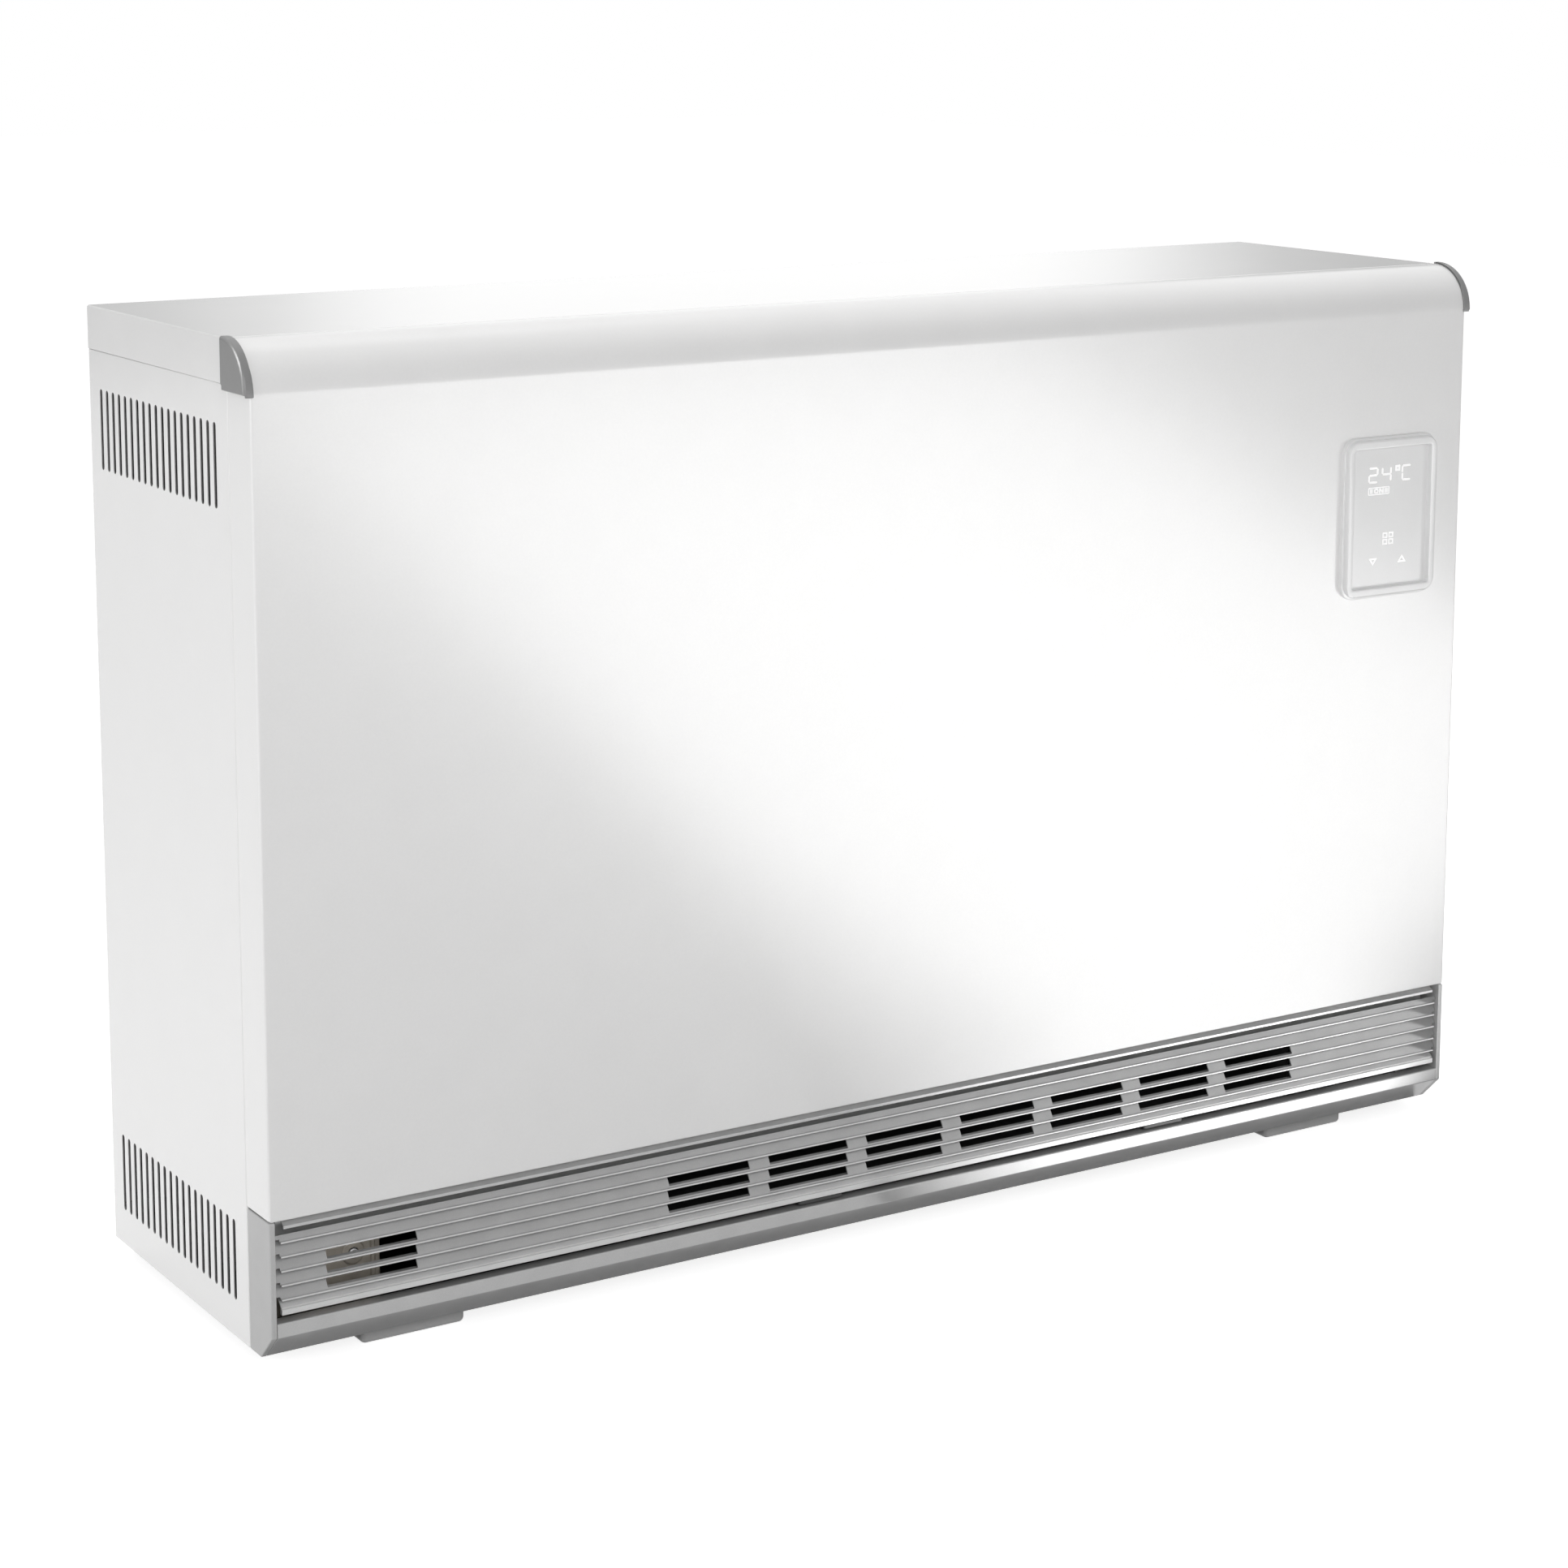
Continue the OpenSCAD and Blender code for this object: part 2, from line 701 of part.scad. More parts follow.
module base_tray() {
    front = seam_y + fit_gap;
    edge_x = inner_x;
    intake_y = [housing_front_y + 12, housing_rear_y + 8];
    intake_count = 5;
    intake_pitch = 2 * filter_half / intake_count;
    color(zinc) in_body() difference() {
        union() {
            box([-edge_x, front, 0], [edge_x, rear_y, tray_t]);
            box([-edge_x, front, 0], [-edge_x + tray_t, rear_y, tray_edge_h]);
            box([edge_x - tray_t, front, 0], [edge_x, rear_y, tray_edge_h]);
            box([-edge_x, rear_y - tray_t, 0], [edge_x, rear_y, tray_edge_h]);
            box([-edge_x, front, 0], [edge_x, front + tray_t, tray_edge_h - 8]);
        }
        for (i = [0 : intake_count - 1])
            let (x = slot_mid_x - filter_half + (i + 0.5) * intake_pitch)
                box([x - intake_pitch * 0.38, intake_y[0], -1],
                    [x + intake_pitch * 0.38, intake_y[1], tray_t + 1]);
        for (x = [-floor_hole_x, floor_hole_x], y = floor_hole_y) rod_z(x, y, -1, tray_t + 1, driver_hole_r);
    }
}

// Folded uprights that carry the core over the fan chamber
module core_supports() {
    foot_l = 16;
    y0 = core_y0 + 46;
    color(zinc) in_body() for (side = [[core_x0 + 4, 1], [core_x1 - 4, -1]])
        along_y(y0, core_y1 - 4)
            polygon(bent_sheet(support_path(side[0], side[1], foot_l), -side[1] * plate_t));
}

function support_path(x, way, l) =
    [[x + way * l, tray_t, 0], [x, tray_t, 2], [x, core_z0, 2], [x + way * l, core_z0, 0]];

module air_ports(z0, z1) {
    for (i = [0 : brick_columns - 1], side = [-1, 1])
        let (x = brick_x0 + (i + 0.5) * brick_w + side * brick_w / 4)
            for (y = [front_channel_y, rear_channel_y])
                box([x - channel_w / 2, y, z0], [x + channel_w / 2, y + channel_l, z1]);
}

module core_floor() {
    color(zinc) in_body() difference() {
        box([core_x0, core_y0, core_z0], [core_x1, core_y1, core_z0 + floor_t]);
        air_ports(core_z0 - 1, core_z0 + floor_t + 1);
    }
}

module core_casing() {
    color(zinc) in_body() difference() {
        box([core_x0, core_y0, core_z0 + floor_t], [core_x1, core_y1, core_z1]);
        box([core_x0 + core_t, core_y0 + core_t, core_z0],
            [core_x1 - core_t, core_y1 - core_t, core_z1 - core_t]);
        element_holes(element_r + seal_wall);
        probe_hole(probe_r + fit_gap);
    }
}

module element_holes(r) {
    for (z = element_z, y = element_y) rod_x(brick_x1 - 1, core_x1 + 1, y, z, r);
}

module probe_hole(r) {
    rod_x(brick_x1 - probe_depth, core_x1 + 1, brick_mid_y, probe_z, r);
}

module base_insulation() {
    color([0.86, 0.84, 0.78]) in_body() difference() {
        box([core_x0 + core_t, core_y0 + core_t, core_z0 + floor_t],
            [core_x1 - core_t, core_y1 - core_t, brick_z0]);
        air_ports(core_z0, brick_z0 + 1);
    }
}

module top_insulation() {
    color([0.86, 0.84, 0.78]) in_body()
        box([core_x0 + core_t, core_y0 + core_t, brick_z1],
            [core_x1 - core_t, core_y1 - core_t, core_z1 - core_t]);
}

// The slabs in front of and behind the bricks
module face_insulation() {
    color([0.86, 0.84, 0.78]) in_body()
        for (y = [[core_y0 + core_t, brick_y0], [brick_y1, core_y1 - core_t]])
            box([core_x0 + core_t, y[0], brick_z0], [core_x1 - core_t, y[1], brick_z1]);
}

// The slabs at the two ends of the bricks
module end_insulation() {
    color([0.86, 0.84, 0.78]) in_body() difference() {
        for (x = [[core_x0 + core_t, brick_x0], [brick_x1, core_x1 - core_t]])
            box([x[0], brick_y0, brick_z0], [x[1], brick_y1, brick_z1]);
        element_holes(element_r + seal_wall);
        probe_hole(probe_r + fit_gap);
    }
}

module storage_bricks() {
    groove_r = element_r + 0.5;
    color([0.36, 0.24, 0.2]) in_body() difference() {
        for (i = [0 : brick_columns - 1], k = [0 : brick_rows - 1])
            translate([brick_x0 + i * brick_w + brick_joint / 2, brick_y0, brick_z0 + k * brick_h])
                cube([brick_w - brick_joint, brick_y1 - brick_y0, brick_h - brick_joint]);
        air_ports(brick_z0 - 1, brick_z1 + 1);
        for (z = element_z) {
            for (y = element_y) rod_x(element_bend_x, brick_x1 + 1, y, z, groove_r);
            element_bend(z, groove_r);
        }
        probe_hole(probe_r + fit_gap);
    }
}

module element_bend(z, r) {
    translate([element_bend_x, brick_mid_y, z]) rotate([0, 0, 90])
        rotate_extrude(angle = 180) translate([element_span / 2, 0]) circle(r, $fn = 24);
}

// Hairpin tubes that lie in grooves between two rows of bricks
module heating_elements() {
    color([0.42, 0.4, 0.38]) in_body() for (z = element_z) {
        for (y = element_y) {
            rod_x(element_bend_x, element_end_x, y, z, element_r);
            rod_x(element_end_x, element_end_x + 8, y, z, element_r / 2);
        }
        element_bend(z, element_r);
    }
}

module element_seals() {
    color([0.9, 0.88, 0.82]) in_body() for (z = element_z, y = element_y) difference() {
        union() {
            rod_x(brick_x1 + 2, core_x1, y, z, element_r + seal_wall - fit_gap);
            rod_x(core_x1, core_x1 + 5, y, z, element_r + seal_wall + 2);
        }
        rod_x(brick_x1, core_x1 + 6, y, z, element_r + 0.1);
    }
}

// ---- Fans ----

// One fan's own frame: x from the middle between the two fans, growing towards the fan's far end
module fan_side(way) {
    in_body() translate([slot_mid_x, 0, 0]) scale([way, 1, 1]) children();
}

module fan_outline() {
    polygon(rounded([[housing_front_y, housing_low_z, 0], [housing_rear_y, housing_low_z, 10],
        [housing_rear_y, housing_top_z, 2], [housing_front_y, housing_top_z, 0]]));
}

// Open below for the air to come in, and open above at the rear air ports
module fan_housing() {
    x0 = housing_x;
    x1 = fan_half - housing_t;
    roof_z = housing_top_z - housing_t;
    lip_y = rear_channel_y - 4;
    roof = [[housing_front_y, roof_z, 0], [lip_y, roof_z, 4], [lip_y, fan_z + wheel_r + 6, 0]];
    back = [[housing_rear_y, fan_z - 14, 0], [housing_rear_y, housing_top_z, 0]];
    tongue = [[housing_front_y, 44, 0], [fan_y - wheel_r - 8, 44, 4], [fan_y - wheel_r + 1, fan_z - 22, 0]];
    difference() {
        union() {
            along_x(x0, x0 + housing_t) fan_outline();
            along_x(x1, x1 + housing_t) fan_outline();
            for (path = [roof, back, tongue])
                along_x(x0, x1 + housing_t / 2) polygon(bent_sheet(path, housing_t));
        }
        rod_x(x0 - 1, x0 + housing_t + 1, fan_y, fan_z, shaft_r + 2);
        rod_x(x1 - 1, x1 + housing_t + 1, fan_y, fan_z, bearing_r);
    }
}

module left_fan_housing() {
    color(zinc) fan_side(-1) fan_housing();
}

module right_fan_housing() {
    color(zinc) fan_side(1) fan_housing();
}

module impeller() {
    x0 = housing_x + housing_t + 4;
    x1 = fan_half - housing_t - 8;
    disc_t = 1.5;
    mid_x = (x0 + x1) / 2;
    difference() {
        union() {
            for (x = [x0, mid_x, x1 - disc_t]) rod_x(x, x + disc_t, fan_y, fan_z, wheel_r);
            for (x = [x0, x1 - 10]) rod_x(x, x + 10, fan_y, fan_z, shaft_r + 3);
            for (i = [0 : wheel_blades - 1])
                translate([x0, fan_y, fan_z]) rotate([i * 360 / wheel_blades, 0, 0])
                    translate([0, wheel_r - wheel_blade_d * 0.62, 0]) rotate([32, 0, 0])
                        translate([0, -wheel_blade_d / 2, -0.5]) cube([x1 - x0, wheel_blade_d, 1]);
        }
        rod_x(x0 - 1, x1 + 1, fan_y, fan_z, shaft_r);
    }
}

module left_impeller() {
    color([0.7, 0.72, 0.73]) fan_side(-1) impeller();
}

module right_impeller() {
    color([0.7, 0.72, 0.73]) fan_side(1) impeller();
}

// The shaft with the motor's rotor on it
module fan_shaft() {
    rod_x(motor_x - 5, fan_half + 2, fan_y, fan_z, shaft_r);
    rod_x(motor_x, motor_x + motor_stack_l, fan_y, fan_z, rotor_r);
}

module left_fan_shaft() {
    color([0.6, 0.6, 0.62]) fan_side(-1) fan_shaft();
}

module right_fan_shaft() {
    color([0.6, 0.6, 0.62]) fan_side(1) fan_shaft();
}

// Laminated frame with its winding and two end plates, on posts from the fan housing
module fan_motor() {
    plate = 1.5;
    x0 = motor_x;
    x1 = motor_x + motor_stack_l;
    difference() {
        union() {
            box([x0, fan_y - 24, fan_z - 34], [x1, fan_y + 24, fan_z + 22]);
            box([x0 - 2, fan_y - 16, fan_z - 32], [x1 + 2, fan_y + 16, fan_z - 20]);
            for (y = [-18, 18]) rod_x(x1, housing_x, fan_y + y, fan_z + 16, 2.5);
            for (y = [-18, 18]) rod_x(x1, housing_x, fan_y + y, fan_z - 16, 2.5);
            box([x0 - 3 - plate, fan_y - 22, fan_z - 6], [x0 - 3, fan_y + 22, fan_z + 6]);
            for (y = [-19, 19]) rod_x(x0 - 3 - plate, x0, fan_y + y, fan_z, 2.5);
        }
        rod_x(x0 - 1, x1 + 1, fan_y, fan_z, rotor_r + 0.4);
        rod_x(x0 - 5, x0, fan_y, fan_z, shaft_r + run_gap);
    }
}

module left_fan_motor() {
    color([0.5, 0.42, 0.3]) fan_side(-1) fan_motor();
}

module right_fan_motor() {
    color([0.5, 0.42, 0.3]) fan_side(1) fan_motor();
}

module fan_bearings() {
    x1 = fan_half - housing_t;
    color([0.15, 0.15, 0.15]) for (way = [-1, 1]) fan_side(way) difference() {
        rod_x(x1 - bearing_l / 2, x1 + bearing_l / 2, fan_y, fan_z, bearing_r);
        rod_x(x1 - bearing_l, x1 + bearing_l, fan_y, fan_z, shaft_r + run_gap);
    }
}

// The sheet duct from the fans to the outlet slots
module air_guide() {
    back = housing_front_y - fit_gap;
    step_z = front_low_z - rail_flange_h - 2;
    floor_t = 1;
    side = [[duct_front_y, duct_low_z], [back, duct_low_z], [back, chamber_h], [rail_flange_y + 2, chamber_h],
        [rail_flange_y + 2, step_z], [duct_front_y, step_z]];
    color(zinc) in_body() translate([slot_mid_x, 0, 0]) {
        box([-fan_half, duct_front_y, duct_low_z], [fan_half, back, duct_low_z + floor_t]);
        for (x = [-fan_half, fan_half - floor_t]) along_x(x, x + floor_t) polygon(side);
    }
}

// ---- Bypass flap ----

// Closed, the flap lies just below the front air ports
module bypass_flap() {
    plate_z = flap_z + flap_sleeve_r - 1;
    color(zinc) in_body() translate([slot_mid_x, 0, 0]) difference() {
        union() {
            rod_x(-flap_bracket_x + 1, flap_bracket_x - 1, flap_y, flap_z, flap_sleeve_r);
            box([-flap_end_x, flap_y - flap_l, plate_z], [flap_end_x, flap_y, plate_z + 1]);
            box([-lever_x - 3, flap_y - lever_t / 2, flap_z - lever_l],
                [-lever_x + 3, flap_y + lever_t / 2, flap_z - flap_rod_r - 0.5]);
        }
        rod_x(-fan_half, fan_half, flap_y, flap_z, flap_rod_r);
    }
}

module flap_rod() {
    color([0.6, 0.6, 0.62]) in_body() translate([slot_mid_x, 0, 0])
        rod_x(-flap_bracket_x - 3, flap_bracket_x + 3, flap_y, flap_z, flap_rod_r);
}

module flap_brackets() {
    bracket_t = 1.5;
    r = flap_sleeve_r + 1;
    color(zinc) in_body() for (x = [-flap_bracket_x - bracket_t, flap_bracket_x])
        translate([slot_mid_x, 0, 0]) difference() {
            union() {
                box([x, flap_y - r, flap_z], [x + bracket_t, flap_y + r, core_z0]);
                rod_x(x, x + bracket_t, flap_y, flap_z, r);
            }
            rod_x(x - 1, x + bracket_t + 1, flap_y, flap_z, flap_rod_r + run_gap);
        }
}

// A wax capsule whose plunger pushes the flap's lever
module flap_actuator() {
    color([0.72, 0.58, 0.3]) in_body() translate([slot_mid_x - lever_x, 0, 0]) difference() {
        union() {
            rod_y(0, capsule_y - 24, capsule_y, plunger_z, capsule_r);
            box([-2, capsule_y - 14, plunger_z], [2, capsule_y - 8, core_z0]);
            box([-capsule_r, capsule_y - 20, core_z0 - 1.5], [capsule_r, capsule_y - 2, core_z0]);
        }
        rod_y(0, capsule_y - 12, capsule_y + 1, plunger_z, plunger_r + run_gap);
    }
}

module actuator_plunger() {
    color([0.6, 0.6, 0.62]) in_body() translate([slot_mid_x - lever_x, 0, 0])
        rod_y(0, capsule_y - 11, flap_y - lever_t / 2 - fit_gap, plunger_z, plunger_r);
}

// ---- Lint filter ----

module lint_filter_frame() {
    y1 = filter_front_y + filter_l;
    bay_count = 5;
    bay_w = (2 * filter_half - filter_bar) / bay_count - filter_bar;
    color([0.2, 0.2, 0.2]) in_body() translate([slot_mid_x, 0, 0]) difference() {
        union() {
            box([-filter_half, filter_front_y, filter_z], [filter_half, y1, filter_z + filter_t]);
            for (x = [-150, 150])
                box([x - 18, filter_front_y - 5, filter_z], [x + 18, filter_front_y, filter_z + filter_t]);
        }
        for (i = [0 : bay_count - 1])
            let (x = -filter_half + filter_bar + i * (bay_w + filter_bar))
                box([x, filter_front_y + 2 * filter_bar, filter_z - 1],
                    [x + bay_w, y1 - filter_bar, filter_z + filter_t + 1]);
        mesh_sheet();
    }
}

module mesh_sheet() {
    inset = filter_bar / 2;
    low_z = filter_z + (filter_t - mesh_t) / 2;
    box([-filter_half + inset, filter_front_y + filter_bar, low_z],
        [filter_half - inset, filter_front_y + filter_l - inset, low_z + mesh_t]);
}

module lint_filter_mesh() {
    color([0.35, 0.35, 0.35]) in_body() translate([slot_mid_x, 0, 0]) mesh_sheet();
}

// Channels that stand on the tray and hold the filter's two sides
module filter_rails() {
    web_t = 1;
    lip = 5;
    y0 = seam_y + 4;
    y1 = filter_front_y + filter_l + 3;
    x = filter_half + fit_gap;
    color(zinc) in_body() for (way = [-1, 1]) translate([slot_mid_x, 0, 0]) scale([way, 1, 1]) {
        box([x, y0, tray_t], [x + web_t, y1, filter_z + filter_t + fit_gap + web_t]);
        for (z = [filter_z - fit_gap - web_t, filter_z + filter_t + fit_gap])
            box([x - lip, y0, z], [x + web_t, y1, z + web_t]);
    }
}

// ---- Electrics ----

module electrics_plate() {
    z0 = tray_t;
    z1 = plate_top_z;
    y0 = seam_y + 12;
    y1 = core_y1;
    color(zinc) in_body() difference() {
        union() {
            box([plate_x, y0, z0], [plate_x + plate_t, y1, z1]);
            box([plate_x, y0, z0], [plate_x + 14, y1, z0 + plate_t]);
            box([plate_x, y0, z0], [plate_x + 10, y0 + plate_t, z1]);
        }
        for (z = element_z) rod_x(plate_x - 1, plate_x + 2, brick_mid_y, z + 16, 9);
        rod_x(plate_x - 1, plate_x + 2, limiter_y + 60, limiter_z, 6);
    }
}

module terminal_block() {
    poles = 6;
    y0 = terminal_y;
    z0 = terminal_z;
    color([0.93, 0.92, 0.88]) in_body() difference() {
        box([board_face_x, y0, z0], [board_face_x + 22, y0 + poles * pole_w, z0 + terminal_h]);
        for (i = [0 : poles - 1]) {
            rod_x(board_face_x + 8, board_face_x + 23, y0 + (i + 0.5) * pole_w, z0 + 9, 3);
            rod_x(board_face_x + 8, board_face_x + 23, y0 + (i + 0.5) * pole_w, z0 + 25, 3);
        }
    }
}

module control_board() {
    x = board_face_x + pillar_h;
    top_x = x + circuit_t;
    color([0.1, 0.35, 0.2]) in_body() {
        translate([x, circuit_y, circuit_z]) cube([circuit_t, circuit_w, circuit_h]);
        for (y = [circuit_y + 8, circuit_y + circuit_w - 8], z = [circuit_z + 8, circuit_z + circuit_h - 8])
            rod_x(board_face_x, x, y, z, 3);
        translate([top_x, circuit_y + 20, circuit_z + 20]) cube([26, 42, 40]);
        translate([top_x, circuit_y + 80, circuit_z + 24]) cube([12, 30, 30]);
        for (i = [0 : 2]) rod_x(top_x, top_x + 18, circuit_y + 30 + i * 24, circuit_z + 110, 8);
    }
}

module load_relays() {
    color([0.2, 0.25, 0.35]) in_body() for (i = [0 : 2])
        translate([board_face_x, circuit_y + i * relay_pitch, relay_z]) cube(relay_size);
}

module thermal_limiter() {
    x = board_face_x;
    color([0.1, 0.1, 0.1]) in_body() difference() {
        union() {
            translate([x, limiter_y, limiter_z]) cube(limiter_size);
            rod_x(x + limiter_size[0], x + limiter_size[0] + 5, limiter_mid[0], limiter_mid[1], 6);
        }
        rod_x(x + 14, x + limiter_size[0] + 6, limiter_mid[0], limiter_mid[1], button_r + run_gap);
    }
}

module limiter_reset_button() {
    x1 = board_face_x + limiter_size[0] + 5 + button_travel + 1;
    color([0.75, 0.1, 0.1]) in_body() rod_x(board_face_x + 17, x1, limiter_mid[0], limiter_mid[1], button_r);
}

// Probe in the brick core with its lead block on the outside of the core casing
module charge_sensor() {
    color([0.6, 0.6, 0.62]) in_body() {
        rod_x(brick_x1 - probe_depth + 2, core_x1 + 4, brick_mid_y, probe_z, probe_r);
        rod_x(core_x1 + fit_gap, core_x1 + 12, brick_mid_y, probe_z, probe_r + 3);
    }
}

// Flat bars that join the elements' terminal pins
module element_links() {
    x = element_end_x + 8;
    color([0.72, 0.45, 0.25]) in_body() for (y = element_y)
        box([x, y - 5, element_z[0] - 12], [x + 1.5, y + 5, element_z[len(element_z) - 1] + 12]);
}

// A quarter turn of wire at the corner b, for a wire that arrives along u and leaves along v
module wire_bend(b, u, v, r, bend) {
    cross_uv = u[0] * v[1] - u[1] * v[0];
    start = cross_uv > 0 ? -v : u;
    translate(b - u * bend + v * bend) rotate([0, 0, atan2(start[1], start[0])])
        rotate_extrude(angle = 90) translate([bend, 0]) circle(r, $fn = 24);
}

// A wire through [y, z] points in a plane at x; every corner is square and rounded by the bend
module wire(x, points, r, bend) {
    last = len(points) - 1;
    translate([x, 0, 0]) rotate([90, 0, 90]) {
        for (i = [0 : last - 1])
            let (d = points[i + 1] - points[i], u = d / norm(d), a = i == 0 ? 0 : bend,
                l = norm(d) - a - (i == last - 1 ? 0 : bend))
                translate(points[i] + u * a) rotate([0, 0, atan2(u[1], u[0])]) rotate([0, 90, 0])
                    cylinder(h = l, r = r, $fn = 24);
        for (i = [1 : last - 1])
            wire_bend(points[i], unit(points[i] - points[i - 1]), unit(points[i + 1] - points[i]), r, bend);
    }
}

module wiring_harness() {
    r = 2;
    bend = 4;
    step = 9;
    level_z = terminal_z + terminal_h + 30;
    turn_z = relay_z - 34;
    riser_y = circuit_y + circuit_w + 12;
    color([0.8, 0.35, 0.2]) in_body() for (i = [0 : 2])
        let (y0 = terminal_y + (2 * i + 0.5) * pole_w, y1 = circuit_y + relay_size[1] / 2 + i * relay_pitch,
            y2 = riser_y + (step - 1) * i, z1 = level_z - step * i, z2 = turn_z + step * i)
            wire(board_face_x + 11, [[y0, terminal_z + terminal_h], [y0, z1], [y2, z1], [y2, z2],
                [y1, z2], [y1, relay_z]], r, bend);
}

// ---- Sensor corner, screws and cable entry ----

module sensor_bracket() {
    bracket_t = 1.2;
    fold = [[-sensor_out_x, sensor_y, 0], [-sensor_in_x, sensor_y, 1.5], [-sensor_in_x, sensor_y + 26, 0]];
    color([0.72, 0.7, 0.66]) in_body() difference() {
        union() {
            along_z(tray_t, sensor_top_z) polygon(bent_sheet(fold, bracket_t));
            box([-sensor_out_x, sensor_y, tray_t], [-sensor_in_x, sensor_y + 20, 2 * tray_t]);
        }
        rod_y(-sensor_screw_x, sensor_y - 1, sensor_y + bracket_t + 1, sensor_screw_z, screw_hole_r);
    }
}

module room_sensor() {
    color([0.12, 0.12, 0.12]) in_body() {
        translate([-sensor_in_x, sensor_y + 6, sensor_screw_z + 2]) cube([3, 14, 20]);
        rod_x(-sensor_in_x + 3, -sensor_in_x + 15, sensor_y + 13, sensor_screw_z + 12, 3);
    }
}

// A pan-head screw along y: its head stands in front of the face at y
module pan_screw(x, y, z, way) {
    translate([x, y, z]) scale([1, way, 1]) difference() {
        union() {
            rod_y(0, -2, 0, 0, 4);
            rod_y(0, -0.5, 7, 0, 1.9);
        }
        box([-2.6, -3, -0.4], [2.6, -1, 0.4]);
        box([-0.4, -3, -2.6], [0.4, -1, 2.6]);
    }
}

module casing_screws() {
    color([0.75, 0.75, 0.76]) in_body() {
        for (x = [-rear_screw_x, rear_screw_x], z = rear_screw_z) pan_screw(x, rear_y + sheet_t, z, -1);
        pan_screw(-sensor_screw_x, sensor_y, sensor_screw_z, 1);
    }
}

module cable_grommet() {
    lip_r = cable_r + grommet_wall + 2.5;
    face_y = rear_y + sheet_t;
    color([0.15, 0.15, 0.15]) in_body() difference() {
        union() {
            rod_y(cable_x, face_y - grommet_l, face_y + 1.5, cable_z, cable_r + grommet_wall);
            rod_y(cable_x, face_y, face_y + 1.5, cable_z, lip_r);
            rod_y(cable_x, rear_y - 2, rear_y, cable_z, lip_r);
        }
        rod_y(cable_x, rear_y - grommet_l, rear_y + 5, cable_z, cable_r);
    }
}

left_side_panel();
right_side_panel();
top_cover();
front_panel();
back_panel();
left_corner_cap();
right_corner_cap();
left_end_piece();
right_end_piece();
bottom_trim();
outlet_grille();
grille_top_rail();
base_tray();
left_foot();
right_foot();
display_frame();
display_window();
display_board();
core_supports();
core_floor();
core_casing();
base_insulation();
face_insulation();
end_insulation();
top_insulation();
storage_bricks();
heating_elements();
element_seals();
left_fan_housing();
left_impeller();
left_fan_shaft();
left_fan_motor();
right_fan_housing();
right_impeller();
right_fan_shaft();
right_fan_motor();
fan_bearings();
air_guide();
bypass_flap();
flap_rod();
flap_brackets();
flap_actuator();
actuator_plunger();
lint_filter_frame();
lint_filter_mesh();
filter_rails();
electrics_plate();
terminal_block();
control_board();
load_relays();
thermal_limiter();
limiter_reset_button();
charge_sensor();
element_links();
wiring_harness();
sensor_bracket();
room_sensor();
casing_screws();
cable_grommet();
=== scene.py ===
"""Looks of a storage heater: white enamelled casing, grey air outlet, display, feet and the works inside.

Lengths in the tables are millimetres in the casing's own frame: x from the middle, y from the front
panel's face towards the wall, z from the side panels' bottom edge. place() turns them into metres, and
box_of() gives the box of a CAD node in the same millimetres.
"""
from collections import namedtuple
from itertools import product
from math import acos, atan2, ceil, cos, pi, radians, sin, tan

import bmesh
import bpy
from mathutils import Matrix, Vector
from mathutils.geometry import tessellate_polygon


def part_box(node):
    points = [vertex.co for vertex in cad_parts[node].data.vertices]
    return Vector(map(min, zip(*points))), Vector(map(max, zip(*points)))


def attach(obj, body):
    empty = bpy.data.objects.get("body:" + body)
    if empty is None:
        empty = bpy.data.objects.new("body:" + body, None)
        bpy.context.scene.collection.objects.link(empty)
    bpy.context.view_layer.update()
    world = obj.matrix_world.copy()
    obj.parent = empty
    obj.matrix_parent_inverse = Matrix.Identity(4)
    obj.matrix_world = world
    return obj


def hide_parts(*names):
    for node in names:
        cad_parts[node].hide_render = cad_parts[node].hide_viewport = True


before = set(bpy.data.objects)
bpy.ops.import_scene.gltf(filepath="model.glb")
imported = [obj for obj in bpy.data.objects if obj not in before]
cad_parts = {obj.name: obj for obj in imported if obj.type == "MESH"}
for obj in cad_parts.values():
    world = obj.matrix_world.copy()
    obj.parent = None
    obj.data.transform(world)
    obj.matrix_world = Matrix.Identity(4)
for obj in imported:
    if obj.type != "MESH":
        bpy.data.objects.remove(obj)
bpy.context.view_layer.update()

MM = 0.001
FRONT_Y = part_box("front_panel")[0].y
SIDE_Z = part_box("left_side_panel")[0].z
HAND = {"left": -1, "right": 1}
Box = namedtuple("Box", "left front low right back high")


def place(x, y, z):
    """A point of the casing's own frame, in metres of the shared frame."""
    return Vector((x * MM, FRONT_Y + y * MM, SIDE_Z + z * MM))


def box_of(node):
    """A CAD node's box in the casing's own frame."""
    return Box(*(round(v / MM, 2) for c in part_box(node) for v in (c.x, c.y - FRONT_Y, c.z - SIDE_Z)))


# ---- Outlines ----

def steps_for(radius, turn):
    """Enough facets that an arc of that radius looks round close up."""
    return max(3, ceil(abs(turn) / (pi / 2) * (3 + 2.8 * radius ** 0.5)))


def quarter_turn(steps):
    return [pi / 2 * i / steps for i in range(steps + 1)]


